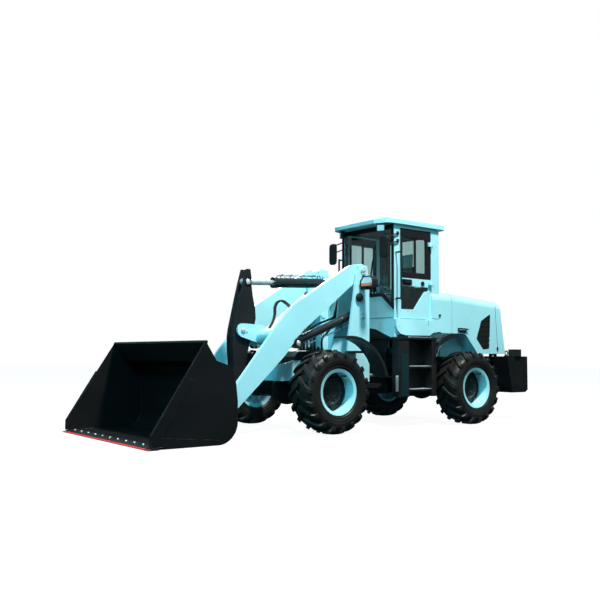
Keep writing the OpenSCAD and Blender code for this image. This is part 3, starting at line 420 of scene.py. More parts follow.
def rectangle(u0, u1, v0, v1):
    return [(u0, v0), (u1, v0), (u1, v1), (u0, v1)]


def soft_box(u0, u1, v0, v1, radius, steps=4):
    return rounded(rectangle(u0, u1, v0, v1), radius, steps)


def spot(axis, u, v, w):
    return at(*{"x": (w, u, v), "y": (u, w, v), "z": (u, v, w)}[axis])


def skin(bm, loops, capped=False):
    for a, b in zip(loops, loops[1:]):
        for k in range(len(a)):
            bm.faces.new((a[k - 1], a[k], b[k], b[k - 1]))
    if capped:
        bm.faces.new(loops[0])
        bm.faces.new(loops[-1][::-1])


def plate(bm, outline, axis, low, high):
    skin(bm, [[bm.verts.new(spot(axis, u, v, w)) for u, v in outline] for w in (low, high)], capped=True)


def ring(bm, outer, inner, axis, low, high):
    loops = [[bm.verts.new(spot(axis, u, v, w)) for u, v in line]
             for line, w in ((outer, low), (inner, low), (inner, high), (outer, high))]
    skin(bm, loops + loops[:1])


def rim(bm, outline, width, axis, low, high):
    ring(bm, outline, inset(outline, width), axis, low, high)


def circle(bm, centre, side, other, radius, steps):
    turn = [2 * math.pi * k / steps for k in range(steps)]
    return [bm.verts.new(centre + (side * math.cos(t) + other * math.sin(t)) * radius / 1000) for t in turn]


def block(bm, x0, x1, y0, y1, z0, z1):
    plate(bm, rectangle(x0, x1, z0, z1), "y", y0, y1)


def turned(bm, profile, centre, axis, steps):
    along = Vector(axis).normalized()
    side = along.orthogonal().normalized()
    other = along.cross(side)
    foot = at(*centre)
    skin(bm, [circle(bm, foot + along * height / 1000, side, other, radius, steps)
              for radius, height in profile])


def knob(bm, profile, centre, axis, steps):
    first, last = profile[0][1], profile[-1][1]
    turned(bm, [(TIP, first)] + profile + [(TIP, last)], centre, axis, steps)


def bolt(bm, place, axis, size):
    knob(bm, [(size * 0.9, 0), (size * 0.9, size * 0.16)], place, axis, 16)
    head = [(0.6, 0.1), (0.6, 0.55), (0.5, 0.66)]
    turned(bm, [(size * r, size * h) for r, h in head] + [(TIP, size * 0.66)], place, axis, 6)


def smooth_path(points, between=6):
    ends = [points[0] * 2 - points[1]] + points + [points[-1] * 2 - points[-2]]
    path = []
    for p0, p1, p2, p3 in zip(ends, ends[1:], ends[2:], ends[3:]):
        for k in range(between):
            t = k / between
            path.append(0.5 * (p1 * 2 + (p2 - p0) * t + (p0 * 2 - p1 * 5 + p2 * 4 - p3) * t * t
                               + (p1 * 3 - p0 - p2 * 3 + p3) * t * t * t))
    return path + [points[-1]]


def tube(bm, points, radius, sides=10, between=6):
    path = smooth_path([at(*p) for p in points], between)
    lead = (path[1] - path[0]).normalized()
    side = lead.orthogonal().normalized()
    rounds = []
    for i, p in enumerate(path):
        lead = (path[min(i + 1, len(path) - 1)] - path[max(i - 1, 0)]).normalized()
        side = (side - lead * side.dot(lead)).normalized()
        rounds.append(circle(bm, p, side, lead.cross(side), radius, sides))
    skin(bm, rounds, capped=True)


# %% From a mesh to a piece on a body
SIDES = ("left", "right")
REAR, FRONT = "rear_frame", "front_frame"


def piece(name, bm, material, body, ease=0.0, smooth=False):
    bmesh.ops.remove_doubles(bm, verts=bm.verts, dist=SAME_PLACE)
    bmesh.ops.recalc_face_normals(bm, faces=bm.faces)
    mesh = bpy.data.meshes.new(name)
    bm.to_mesh(mesh)
    bm.free()
    mesh.materials.append(material)
    if smooth:
        mesh.shade_smooth()
    made = bpy.data.objects.new(name, mesh)
    bpy.context.scene.collection.objects.link(made)
    if ease:
        ease_edges(made, ease / 1000)
    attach(made, body)
    print(name, "on", body, "in", material.name)
    return made


def single(build, material, body, ease=0.0, smooth=False, name=None, mirrored=False):
    bm = bmesh.new()
    build(bm)
    if mirrored:
        for vertex in bm.verts:
            vertex.co.y = -vertex.co.y
    return piece(name or build.__name__, bm, material, body, ease, smooth)


def fitted(build, material, body, ease=0.0, smooth=False, name=None):
    return [single(build, material, body.replace("SIDE", side), ease, smooth,
                   (name or build.__name__) + "_" + side, side == "right") for side in SIDES]


# %% [markdown]
# ## Tyres
# A loader tyre is a smooth carcass with two rows of swept lugs that wrap over the shoulder. The carcass is
# lathe work with a rim guard and a sidewall ring. A lug is a bar swept through eight sections, from past the
# middle of the tread out over the shoulder and down the sidewall, copied round the wheel with the second row
# half a pitch behind.

# %% Tyre mesh: carcass and lugs
LUGS, SWEEP, LUG_FLARE, LUG_ARC_R = 18, 0.78, 7, 500
BEAD_R = 275
SIDE_WALL = [(486, 0), (486, 128), (476, 158), (454, 183), (425, 196), (394, 200), (391, 202), (385, 202),
             (382, 200), (348, 197), (322, 187), (318, 190), (311, 190), (306, 184), (BEAD_R, 163)]
LUG_TOP = [(521, -6), (521, 40), (519, 100), (513, 148), (501, 179), (480, 197), (450, 201), (424, 199)]
LUG_FOOT = [(478, -6), (478, 40), (476, 100), (466, 148), (452, 168), (440, 180), (432, 186), (422, 190)]
LUG_HALF = [23, 25, 27, 29, 30, 30, 29, 25]


def on_wheel(wheel_x, radius, angle, along):
    return wheel_x + radius * math.cos(angle), WHEEL_Y + along, WHEEL_Z + radius * math.sin(angle)


def add_lug(bm, wheel_x, angle, side):
    rows = []
    for (top_r, top_a), (foot_r, foot_a), half in zip(LUG_TOP, LUG_FOOT, LUG_HALF):
        shift = -SWEEP * max(top_a, 0)
        corners = ((top_r, top_a, shift - half), (top_r, top_a, shift + half),
                   (foot_r, foot_a, shift + half + LUG_FLARE), (foot_r, foot_a, shift - half - LUG_FLARE))
        rows.append([bm.verts.new(at(*on_wheel(wheel_x, r, angle + arc / LUG_ARC_R, side * a)))
                     for r, a, arc in corners])
    skin(bm, rows, capped=True)


def add_tyre(bm, wheel_x):
    profile = [(r, -a) for r, a in SIDE_WALL[:0:-1]] + SIDE_WALL
    turned(bm, profile + [(BEAD_R, 0), profile[0]], (wheel_x, WHEEL_Y, WHEEL_Z), Y, 96)
    pitch = 2 * math.pi / LUGS
    for i in range(LUGS):
        add_lug(bm, wheel_x, i * pitch, 1)
        add_lug(bm, wheel_x, (i + 0.5) * pitch, -1)


WHEELS = (("front", 0), ("rear", to_mm(middle("tyre_rear_left")).x))
for end, wheel_x in WHEELS:
    made = fitted(lambda bm: add_tyre(bm, wheel_x), rubber, "wheel_" + end + "_SIDE", 3, name="tyre_" + end)
    for one, side in zip(made, SIDES):
        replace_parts(one, "tyre_" + end + "_" + side)

# %% [markdown]
# ## Hubs
# Deep in the rim sits the black end of the planetary hub with its ring of bolts, and a valve stem stands in
# the barrel. Cap and disc are one turned profile.

# %% Hub caps, wheel nuts and valves
HUB = [(TIP, 76), (58, 76), (66, 70), (122, 64), (138, 56), (152, 50), (153, 14), (172, 9), (252, 9), (252, 6.5),
       (151, 6.5), (151, 30), (TIP, 40)]
WHEEL_BOLTS = 10
BOLT_RINGS = ((100, 66, 0, 14), (205, 9, 0.3, 22))  # radius, height, first angle and size
VALVE_R, VALVE_ANGLE = 236, 2.2


def add_hub(bm, wheel_x):
    turned(bm, HUB, (wheel_x, WHEEL_Y, WHEEL_Z), Y, 48)
    for k in range(WHEEL_BOLTS):
        for radius, height, first, size in BOLT_RINGS:
            bolt(bm, on_wheel(wheel_x, radius, first + 2 * math.pi * k / WHEEL_BOLTS, height), Y, size)


def add_valve(bm, wheel_x):
    place = on_wheel(wheel_x, VALVE_R, VALVE_ANGLE, 0)
    turned(bm, [(TIP, 60), (7, 60), (7, 90), (5, 92), (5, 126), (8, 126), (8, 142), (TIP, 144)], place, Y, 12)


for end, wheel_x in WHEELS:
    body = "wheel_" + end + "_SIDE"
    fitted(lambda bm: add_hub(bm, wheel_x), black_paint, body, 2, name="hub_" + end)
    fitted(lambda bm: add_valve(bm, wheel_x), hose_rubber, body, 0.6, name="valve_" + end)

# %% [markdown]
# ## Cab glazing
# Loader windows are bonded behind black borders. The windscreen's border covers the pillars' inner halves,
# and the door's upper half is a black frame with two sliding panes and a post between them. Moulded linings
# cover the roof, the floor, the walls and the doors on the inside. All of it is flat work, so each is an
# outline drawn out to a plate.

# %% Window borders and linings
CAB_F = high_mm("cab_frame").x
CAB_B = low_mm("cab_frame").x
CAB_HALF = high_mm("door_left_glass").y + 13
DOOR_F, DOOR_B = high_mm("door_left").x, low_mm("door_left_glass").x - 24
DOOR_TOP = high_mm("door_left").z
PANE_LOW = DOOR_TOP - 709
ROOF_Z = high_mm("cab_frame").z


def screen_border(bm):
    outer = [(-556, 1606), (-556, ROOF_Z - 1), (556, ROOF_Z - 1), (556, 1606), (306, 1812), (-306, 1812)]
    inner = [(-508, 1690), (-508, ROOF_Z - 62), (508, ROOF_Z - 62), (508, 1690), (294, 1866), (-294, 1866)]
    ring(bm, rounded(outer, 20), rounded(inner, 30), "x", CAB_F - 1, CAB_F + 5)


def cab_apron(bm):
    edge = [(-540, 1214), (-430, 1252), (-353, 1281), (-180, 1348), (0, 1372), (180, 1348), (353, 1281),
            (430, 1252), (540, 1214)]
    plate(bm, edge[::-1], "x", CAB_F - 2, CAB_F + 2.5)


def door_frame(bm):
    frame_outer = rectangle(DOOR_B - 20, DOOR_F - 4, PANE_LOW + 4, DOOR_TOP - 3)
    frame_inner = rectangle(-2086, -1606, 2148, 2660)
    ring(bm, rounded(frame_outer, 14), rounded(frame_inner, 34), "y", CAB_HALF - 22, CAB_HALF + 4)
    block(bm, -1884, -1846, CAB_HALF - 16, CAB_HALF + 1, 2140, 2668)
    ring(bm, soft_box(-2090, -1850, 2144, 2664, 20), soft_box(-2074, -1866, 2160, 2648, 20), "y",
         CAB_HALF - 19, CAB_HALF - 6)


def rear_window_border(bm):
    outer = rectangle(-498, 498, 1954, 2776)
    ring(bm, rounded(outer, 40), rounded(inset(outer, 46), 40), "x", CAB_B - 4, CAB_B + 2)


WALL = CAB_HALF - 32
LINING_LOW, MAT_TOP, LINING_TOP = 1276, 1277, ROOF_Z - 34


def cab_lining(bm):
    plate(bm, soft_box(CAB_B + 44, CAB_F - 44, -WALL + 12, WALL - 12, 60), "z", LINING_TOP, ROOF_Z - 3)
    plate(bm, soft_box(CAB_B + 40, CAB_F - 40, -WALL + 8, WALL - 8, 20), "z", MAT_TOP - 8, MAT_TOP)
    outer = rectangle(-WALL + 3, WALL - 3, LINING_LOW, LINING_TOP)
    window = rectangle(-480, 480, 1972, ROOF_Z - 72)
    ring(bm, outer, window, "x", CAB_B + 31, CAB_B + 42)
    for side in (-1, 1):
        low, high = sorted((side * (WALL - 10), side * (WALL + 1)))
        plate(bm, rectangle(CAB_B + 42, DOOR_B - 40, LINING_LOW, LINING_TOP), "y", low, high)
        plate(bm, rectangle(DOOR_F + 16, CAB_F - 31, LINING_LOW, LINING_TOP), "y", low, high)
        low, high = sorted((side * 516, side * (WALL - 9)))
        plate(bm, rectangle(low, high, 1660, LINING_TOP), "x", CAB_F - 40, CAB_F - 31)
    edge = WALL - 10
    dash = [(-edge, MAT_TOP), (edge, MAT_TOP), (edge, 1625), (300, 1825), (-300, 1825), (-edge, 1625)]
    plate(bm, dash, "x", CAB_F - 44, CAB_F - 31)


def door_lining(bm):
    low, high = WALL - 7, WALL + 1
    ring(bm, rectangle(-2128, -1574, 2070, 2772), rectangle(-2108, -1612, 2078, 2732), "y", low, high)
    kick = [(-2086, 1508), (-1574, 1508), (-1574, 1624), (-1838, 1624), (-2060, 1890), (-2112, 1898)]
    plate(bm, kick, "y", low, high)
    plate(bm, rectangle(-2124, -1574, 1964, 2069), "y", low, high)
    tube(bm, [(-1640, low, 2016), (-1646, low - 34, 2016), (-1700, low - 46, 2016), (-1800, low - 46, 2016),
              (-1854, low - 34, 2016), (-1860, low, 2016)], 11, 10, 4)


single(cab_lining, lining, REAR, 2)
fitted(door_lining, lining, "door_SIDE", 1)
single(screen_border, seal, REAR, 1.5)
single(cab_apron, seal, REAR, 1)
single(rear_window_border, seal, REAR, 1.5)
fitted(door_frame, seal, "door_SIDE", 1.5)

# %% [markdown]
# ## Door fittings and wiper
# The handle is a pull in a moulded cup, the lock a round barrel behind it. Panel gaps that the solids don't
# carry are laid on as hair-thin dark beads.

# %% Handles, locks, panel gaps and wiper
def door_handle(bm):
    ring(bm, soft_box(-1792, -1588, 1972, 2056, 24), soft_box(-1778, -1602, 1986, 2042, 18), "y",
         CAB_HALF - 2, CAB_HALF + 9)
    plate(bm, soft_box(-1782, -1598, 1982, 2046, 18), "y", CAB_HALF - 1, CAB_HALF + 2)
    plate(bm, soft_box(-1768, -1632, 1994, 2036, 14), "y", CAB_HALF + 1, CAB_HALF + 34)


def door_lock(bm):
    knob(bm, [(9, 2), (10, 6), (20, 7), (24, 10), (31, 10), (36, 6), (38, -2)],
           (-2015, CAB_HALF, 2008), Y, 28)


def panel_gaps(bm):
    side = high_mm("cowl").y
    plate(bm, rectangle(-2318, -2166, 1506, 1512), "y", side - 1, side + 1.2)
    plate(bm, [(-2318, 1512), (-2312, 1512), (-2316, 1556), (-2322, 1556)], "y", side - 1, side + 1.2)
    plate(bm, soft_box(-2350, -2308, 1556, 1576, 8), "y", side - 1, side + 14)
    plate(bm, [(-2102, 1490), (-2096, 1490), (-2084, 1404), (-2090, 1404)], "y", side - 1, side + 1.2)


def skirt_seal(bm):
    block(bm, CAB_B + 236, CAB_F - 60, CAB_HALF - 4, high_mm("cowl").y - 10, 1227, 1266)


def wiper(bm):
    knob(bm, [(14, 34), (18, 26), (18, 0)], (CAB_F + 3, 92, 1880), X, 20)
    arm = [(30, 92, 1880), (34, 100, 2000), (28, 130, 2260), (20, 150, 2360)]
    blade = [(14, 100, 2090), (12, 140, 2330), (14, 188, 2560)]
    tube(bm, [(CAB_F + x, y, z) for x, y, z in arm], 7, 8)
    tube(bm, [(CAB_F + x, y, z) for x, y, z in blade], 8, 6)


fitted(door_handle, trim, "door_SIDE", 2)
fitted(door_lock, trim, "door_SIDE", 0.8)
fitted(panel_gaps, seal, REAR, 0.4)
fitted(skirt_seal, seal, REAR, 3)
single(wiper, trim, REAR, 0.8)

# %% [markdown]
# ## Lamps and mirrors
# The headlamp is a moulded box with a clear lens over an amber strip. The lens is ribbed geometry, so the
# ribs catch light from any side. The clear and amber lenses have light bases and a faint painted glow, though
# the lamps are off, which brightens them where they stand in shade. The looking glass sits in the mirror's back,
# facing the driver.

# %% Headlamps, work lamps, rear lamps and mirrors
LAMP_F = high_mm("headlamps").x
LAMP_Y1 = high_mm("headlamps").y
LAMP_Y0 = LAMP_Y1 - 250


def headlamp(bm):
    shape = rounded([(LAMP_Y0, 1887), (LAMP_Y1, 1887), (LAMP_Y1, 1990), (LAMP_Y1 - 50, 2033),
                     (LAMP_Y0 + 60, 2033), (LAMP_Y0, 1970)], 26)
    rim(bm, shape, 13, "x", LAMP_F - 22, LAMP_F + 6)
    plate(bm, inset(shape, 3), "x", LAMP_F - 98, LAMP_F - 20)
    block(bm, LAMP_F - 80, LAMP_F - 24, LAMP_Y0 - 14, LAMP_Y0 + 100, 1856, 1892)


def headlamp_lens(bm):
    plate(bm, rounded([(LAMP_Y0 + 16, 1936), (LAMP_Y1 - 16, 1936), (LAMP_Y1 - 16, 1984), (LAMP_Y1 - 56, 2018),
                       (LAMP_Y0 + 66, 2018), (LAMP_Y0 + 16, 1964)], 16), "x", LAMP_F - 20, LAMP_F - 4)
    for k in range(11):
        y = LAMP_Y0 + 34 + k * 18
        block(bm, LAMP_F - 6, LAMP_F - 1, y, y + 9, 1940, 1966 + min(k, 3) * 15)


def headlamp_amber(bm):
    plate(bm, soft_box(LAMP_Y0 + 16, LAMP_Y1 - 16, 1901, 1932, 8), "x", LAMP_F - 20, LAMP_F - 3)
    for k in range(14):
        block(bm, LAMP_F - 4, LAMP_F, LAMP_Y0 + 24 + k * 15, LAMP_Y0 + 31 + k * 15, 1904, 1929)


def horn(bm):
    turned(bm, [(TIP, 44), (18, 44), (24, 40), (26, 34), (52, 30), (60, 22), (60, 10), (52, 2), (TIP, 0)],
           (-790, 550, 1752), Y, 28)


for one in fitted(headlamp, trim, FRONT, 3):
    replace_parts(one, "headlamps")
fitted(headlamp_lens, clear_lens_painted_glow, FRONT, 2)
fitted(headlamp_amber, amber_lens_painted_glow, FRONT, 1)
fitted(horn, trim, FRONT, 1)

WORK = high_mm("work_lamps")
WORK_Y = WORK.y - 50
WORK_Z = WORK.z - 55
LAMP_TURN = math.radians(34)


def turn_outward(bm):
    middle_point = at(WORK.x - 31, WORK_Y, 0)
    bmesh.ops.rotate(bm, verts=bm.verts, cent=middle_point, matrix=Matrix.Rotation(LAMP_TURN, 3, "Z"))


def work_lamp(bm):
    shape = soft_box(WORK_Y - 60, WORK_Y + 60, WORK_Z - 56, WORK_Z + 44, 14)
    rim(bm, shape, 9, "x", WORK.x - 16, WORK.x)
    plate(bm, inset(shape, 2), "x", WORK.x - 46, WORK.x - 14)
    block(bm, WORK.x - 44, WORK.x - 20, WORK_Y - 16, WORK_Y + 18, WORK_Z + 40, WORK_Z + 55)
    for k in range(5):
        block(bm, WORK.x - 58, WORK.x - 44, WORK_Y - 40 + k * 19, WORK_Y - 34 + k * 19, WORK_Z - 34, WORK_Z + 34)
    turn_outward(bm)


def work_lamp_lens(bm):
    plate(bm, soft_box(WORK_Y - 51, WORK_Y + 51, WORK_Z - 47, WORK_Z + 35, 10), "x", WORK.x - 14, WORK.x - 3)
    for k in range(3):
        for j in range(3):
            place = (WORK.x - 3, WORK_Y - 32 + k * 32, WORK_Z - 32 + j * 26)
            turned(bm, [(TIP, 4), (8, 3), (12, 0), (TIP, 0)], place, X, 16)
    turn_outward(bm)


for one in fitted(work_lamp, trim, REAR, 2):
    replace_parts(one, "work_lamps")
fitted(work_lamp_lens, clear_lens_painted_glow, REAR, 1)

TAIL_LOW, TAIL_HIGH, TAIL_WIDTH = low_mm("rear_lamps"), high_mm("rear_lamps"), 140


def rear_lamp_lens(bm):
    for low, high in ((0.1, 0.48), (0.54, 0.9)):
        y0 = TAIL_HIGH.y + TAIL_WIDTH * (low - 1)
        y1 = TAIL_HIGH.y + TAIL_WIDTH * (high - 1)
        shape = soft_box(y0, y1, TAIL_LOW.z + 14, TAIL_HIGH.z - 12, 10)
        plate(bm, shape, "x", TAIL_LOW.x - 7, TAIL_LOW.x + 2)
        for k in range(3):
            z = TAIL_LOW.z + 26 + k * 22
            block(bm, TAIL_LOW.x - 10, TAIL_LOW.x - 6, y0 + 6, y1 - 6, z, z + 10)


fitted(rear_lamp_lens, red_lens, REAR, 1.5)
MIRROR_X = high_mm("mirrors").x - 24
MIRROR_Z = low_mm("mirrors").z + 158
MIRROR_HEAD = soft_box(CAB_HALF - 92, CAB_HALF + 68, MIRROR_Z - 158, MIRROR_Z + 158, 60, 7)


def mirror_head(bm):
    rim(bm, MIRROR_HEAD, 9, "x", MIRROR_X - 6, MIRROR_X + 8)
    for depth, near, far in ((0, 0, 14), (7, 13, 20), (20, 19, 24)):
        plate(bm, inset(MIRROR_HEAD, depth), "x", MIRROR_X + near, MIRROR_X + far)


def mirror_arms(bm):
    for rise in (105, 215):
        z = MIRROR_Z + rise
        block(bm, CAB_F - 84, CAB_F - 44, CAB_HALF - 1, CAB_HALF + 14, z - 22, z + 22)
        for dz in (12, -12):
            bolt(bm, (CAB_F - 64, CAB_HALF + 14, z + dz), Y, 9)
        bends = [(-64, 10, 0), (-40, 18, -9), (100, 18, -63), (180, 16, -94), (MIRROR_X + 16 - CAB_F, 10, -100)]
        tube(bm, [(CAB_F + dx, CAB_HALF + dy, z + dz) for dx, dy, dz in bends], 9, 10, 4)


def mirror_glass(bm):
    plate(bm, inset(MIRROR_HEAD, 9), "x", MIRROR_X - 3, MIRROR_X + 1)


for one in fitted(mirror_head, trim, REAR, 5) + fitted(mirror_arms, trim, REAR, 0.8):
    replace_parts(one, "mirrors")
fitted(mirror_glass, looking_glass, REAR, 0.5)

# %% [markdown]
# ## Hood and body fittings
# A bar handle opens the hood's side over a cup painted in a darkened teal, painted shade in the recess. Dark
# beads mark the tail panel and the cab's front seam, and the box under the cab carries a dark teal strip and a
# plated bar at its front corner; the strip is a painted reflection of the corner, in painted shade. Bolts hold
# the cab's skirt. The steps have pressed teeth that a boot can grip.

# %% Latches, seams, box panel, bolts and tread teeth
HOOD_SIDE = high_mm("cowl").y
TOOTH, TOOTH_PITCH = [(10, -1), (9, 4), (6, 4), (6, -1)], 33


def hood_handle(bm):
    bar = rounded([(-2712, 1392), (-2940, 1384), (-2940, 1364), (-2712, 1370)], 9)
    plate(bm, bar, "y", HOOD_SIDE + 14, HOOD_SIDE + 30)
    for x in (-2738, -2914):
        block(bm, x - 12, x + 12, HOOD_SIDE - 1, HOOD_SIDE + 18, 1368, 1386)


def handle_cup(bm):
    cup = rounded([(-2736, 1366), (-2922, 1362), (-2904, 1316), (-2752, 1318)], 16)
    rim(bm, cup, 5, "y", HOOD_SIDE - 1, HOOD_SIDE + 3)
    plate(bm, inset(cup, 3), "y", HOOD_SIDE - 1, HOOD_SIDE + 0.8)


def tail_seam(bm):
    plate(bm, [(-3598, 1742), (-3605, 1742), (-3666, 1012), (-3659, 1012)], "y", HOOD_SIDE - 1, HOOD_SIDE + 1)
    plate(bm, soft_box(-3660, -3628, 1072, 1112, 10), "y", HOOD_SIDE - 1, HOOD_SIDE + 13)


# painted reflection: a dark teal strip on the box's side at its front corner, the corner's sheen painted in
# shaded teal
def box_corner_painted_sheen(bm):
    side = high_mm("side_boxes").y - 4
    plate(bm, soft_box(-1432, -1300, 424, 990, 12), "y", side - 6, side + 3)


def box_bar(bm):
    face = high_mm("side_boxes").x - 37
    plate(bm, soft_box(774, 816, 484, 704, 14), "x", face - 1, face + 9)
    for z in (506, 682):
        bolt(bm, (face + 9, 795, z), X, 13)


def skirt_bolts(bm):
    for x in (-1500, -1816):
        bolt(bm, (x, HOOD_SIDE, 1390), Y, 11)
    for y in (300, 482):
        bolt(bm, (CAB_F, y, 1396), X, 11)


def front_seam(bm):
    plate(bm, rectangle(-530, 530, 1503, 1509), "x", CAB_F - 1, CAB_F + 1.2)


def tread_teeth(bm):
    low, high = low_mm("step_treads"), high_mm("step_treads")
    lower = [(-1590 - i * TOOTH_PITCH, 728 + j * 40, z) for z in (low.z + 5, low.z + 317)
             for i in range(9) for j in range(3)]
    upper = [(high.x - 30 - i * TOOTH_PITCH, 790, high.z) for i in range(12)]
    for place in lower + upper:
        turned(bm, TOOTH, place, Z, 10)


fitted(hood_handle, trim, "hood", 2)
# painted shade: the handle's recessed cup is painted in the darkened teal
fitted(handle_cup, painted_shade_paint, "hood", 1)
fitted(tail_seam, seal, "hood", 0.4)
fitted(box_corner_painted_sheen, painted_shade_paint, REAR, 2)
fitted(box_bar, zinc, REAR, 1.5)
fitted(skirt_bolts, zinc, REAR, 0.6)
single(front_seam, seal, REAR, 0.4)
fitted(tread_teeth, zinc, REAR, 0)

# %% [markdown]
# ## Behind and under the hood
# The hood's rear wall leans forward as it rises, so the grille is drawn upright and then sheared to that
# lean. The battery carries bolted covers, and the counterweight its reflectors and lifting eyes.

# %% Rear grille, battery covers and counterweight fittings
HOOD_B, HOOD_LOW_Z = -3838, 1010
REAR_LEAN = 115.4 / 718.4
BATTERY_LOW, BATTERY_HIGH = low_mm("battery_pack"), high_mm("battery_pack")
WEIGHT_B, WEIGHT_TOP = low_mm("counterweight").x, 972


def lean_forward(bm):
    for vertex in bm.verts:
        vertex.co.x += (vertex.co.z - HOOD_LOW_Z / 1000) * REAR_LEAN


def rear_grille(bm):
    frame_outer = soft_box(-400, 400, 1160, 1640, 40)
    ring(bm, frame_outer, soft_box(-372, 372, 1188, 1612, 28), "x", HOOD_B - 9, HOOD_B + 2)
    plate(bm, inset(frame_outer, 6), "x", HOOD_B - 2, HOOD_B + 1)
    for k in range(13):
        z = 1196 + k * 32
        slat = [(HOOD_B - 8, z), (HOOD_B - 1, z + 14), (HOOD_B - 1, z + 19), (HOOD_B - 8, z + 5)]
        plate(bm, slat, "y", -374, 374)
    lean_forward(bm)


def rear_latch(bm):
    shape = soft_box(-62, 62, 1070, 1126, 16)
    rim(bm, shape, 10, "x", HOOD_B - 12, HOOD_B + 1)
    plate(bm, inset(shape, 6), "x", HOOD_B - 4, HOOD_B + 1)
    plate(bm, soft_box(-40, 24, 1082, 1114, 10), "x", HOOD_B - 16, HOOD_B - 3)
    knob(bm, [(5, 9), (6, 6), (12, 6), (13, 0)], (HOOD_B - 4, 38, 1098), (-1, 0, 0), 20)
    lean_forward(bm)


def battery_covers(bm):
    top = BATTERY_HIGH.z
    length = (BATTERY_HIGH.x - BATTERY_LOW.x - 60) / 3
    for k in range(3):
        x0 = BATTERY_LOW.x + 30 + k * length
        for y0, y1 in ((-330, -14), (14, 330)):
            shape = soft_box(x0 + 8, x0 + length - 8, y0, y1, 16)
            plate(bm, shape, "z", top - 1, top + 3)
            ring(bm, inset(shape, 26), inset(shape, 38), "z", top + 2, top + 6)
            for x in (x0 + 22, x0 + length - 22):
                for y in (y0 + 14, y1 - 14):
                    bolt(bm, (x, y, top + 3), Z, 8)


def reflector(bm):
    shape = soft_box(500, 690, 850, 900, 10)
    plate(bm, shape, "x", WEIGHT_B - 5, WEIGHT_B + 1)
    for k in range(8):
        block(bm, WEIGHT_B - 7, WEIGHT_B - 4, 512 + k * 21, 524 + k * 21, 856, 894)


def lifting_eye(bm):
    x, y = WEIGHT_B + 130, 470
    knob(bm, [(40, -2), (40, 10), (24, 16), (20, 26)], (x, y, WEIGHT_TOP), Z, 28)
    loop = [(x + 34 * math.cos(t), y, WEIGHT_TOP + 52 + 34 * math.sin(t)) for t in
            [2 * math.pi * k / 12 - math.pi / 2 for k in range(13)]]
    tube(bm, loop, 10, 10, 3)


single(rear_grille, trim, "hood", 1.5)
single(rear_latch, trim, "hood", 1.5)
single(battery_covers, black_paint, REAR, 0.8)
fitted(reflector, red_lens, REAR, 1)
fitted(lifting_eye, black_paint, REAR, 1)

# %% [markdown]
# ## Hydraulics
# Steel tubes run along the cylinders to the ports at their ends, held by clamps. The hose loop that shows
# between the arms is clamped at both ends to the boom, so it turns with it. A stack of valve blocks under a
# bent guard stands between the towers, and its hoses rise to the cross member. Tubes and hoses follow a
# smooth path through a few points, which is how a fitter bends them.

# %% Cylinder tubes, ports, clamps and hoses
TILT_A, TILT_B = Vector((-643, 1969)), Vector((690, 1905))
LIFT_A, LIFT_B, LIFT_Y = Vector((-860, 1540)), Vector((200, 1123)), 390
HOSE_R, VALVE_HOSE_R = 13, 15
VALVE_X, VALVE_PITCH, SIDE_PLATE_Y = -540, 66, 282


def along_axis(start, end, y, distance, rise):
    run = (end - start).normalized()
    away = Vector((-run.y, run.x))
    p = start + run * distance + away * rise
    return (p.x, y, p.y)


def tilt_tubes(bm):
    for y, far in ((-26, 810), (26, 430)):
        spots = [(96, 60), (104, 92), (140, 100), (300, 98), (far - 60, 98), (far - 16, 92), (far, 62)]
        tube(bm, [along_axis(TILT_A, TILT_B, y, d, r) for d, r in spots], 8, 10, 4)


def tilt_clamps(bm):
    for distance in (180, 360, 560, 720):
        strap = ((-44, 62), (-46, 100), (0, 114), (46, 100), (44, 62))
        tube(bm, [along_axis(TILT_A, TILT_B, y, distance, r) for y, r in strap], 7, 8, 3)


def lift_tube(bm):
    spots = [(84, -50), (92, -92), (140, -104), (400, -104), (780, -100), (900, -92), (950, -78), (966, -54)]
    tube(bm, [along_axis(LIFT_A, LIFT_B, LIFT_Y, d, r) for d, r in spots], 9, 10, 4)


def lift_ports(bm):
    for distance in (84, 966):
        place = along_axis(LIFT_A, LIFT_B, LIFT_Y, distance, -44)
        knob(bm, [(20, 0), (20, 16), (15, 20), (13, 30)], place, (-0.37, 0, -0.93), 6)
    for distance in (300, 640):
        strap = ((-24, -48), (-18, -90), (0, -118), (18, -90), (24, -48))
        tube(bm, [along_axis(LIFT_A, LIFT_B, LIFT_Y + y, distance, r) for y, r in strap], 6, 8, 3)


def boom_hoses(bm):
    route = [(392, 96, 1276), (352, 98, 1330), (300, 100, 1410), (272, 102, 1500), (268, 104, 1590),
             (232, 106, 1660), (160, 106, 1686), (86, 112, 1654), (38, 150, 1600), (12, 240, 1548),
             (0, 340, 1510), (-6, 448, 1490)]
    tube(bm, route, HOSE_R, 12, 5)
    beside = []
    for i, (x, y, z) in enumerate(route):
        way = i / (len(route) - 1)
        beside.append((x + 30 * (1 - way) + 44 * way, y + 34 * (1 - way), z - 4))
    tube(bm, beside, HOSE_R, 12, 5)


def hose_clamps(bm):
    plate(bm, soft_box(-42, 74, 1462, 1516, 10), "y", 428, 457)
    for x in (-30, 62):
        bolt(bm, (x, 428, 1489), (0, -1, 0), 13)
    plate(bm, soft_box(362, 450, 66, 160, 10), "z", 1262, 1296)
    for y in (76, 150):
        bolt(bm, (406, y, 1296), Z, 12)


def valve_bank(bm):
    for k in range(4):
        x = VALVE_X + k * VALVE_PITCH
        plate(bm, soft_box(-150, 150, 906, 1040, 12), "x", x, x + 60)
        for y in (-110, -40, 40, 110):
            knob(bm, [(24, 0), (24, 18), (19, 22), (19, 44)], (x + 30, y, 1038), Z, 6)
        for side in (-1, 1):
            knob(bm, [(26, 0), (26, 46), (20, 52)], (x + 30, side * 148, 960), (0, side, 0), 20)


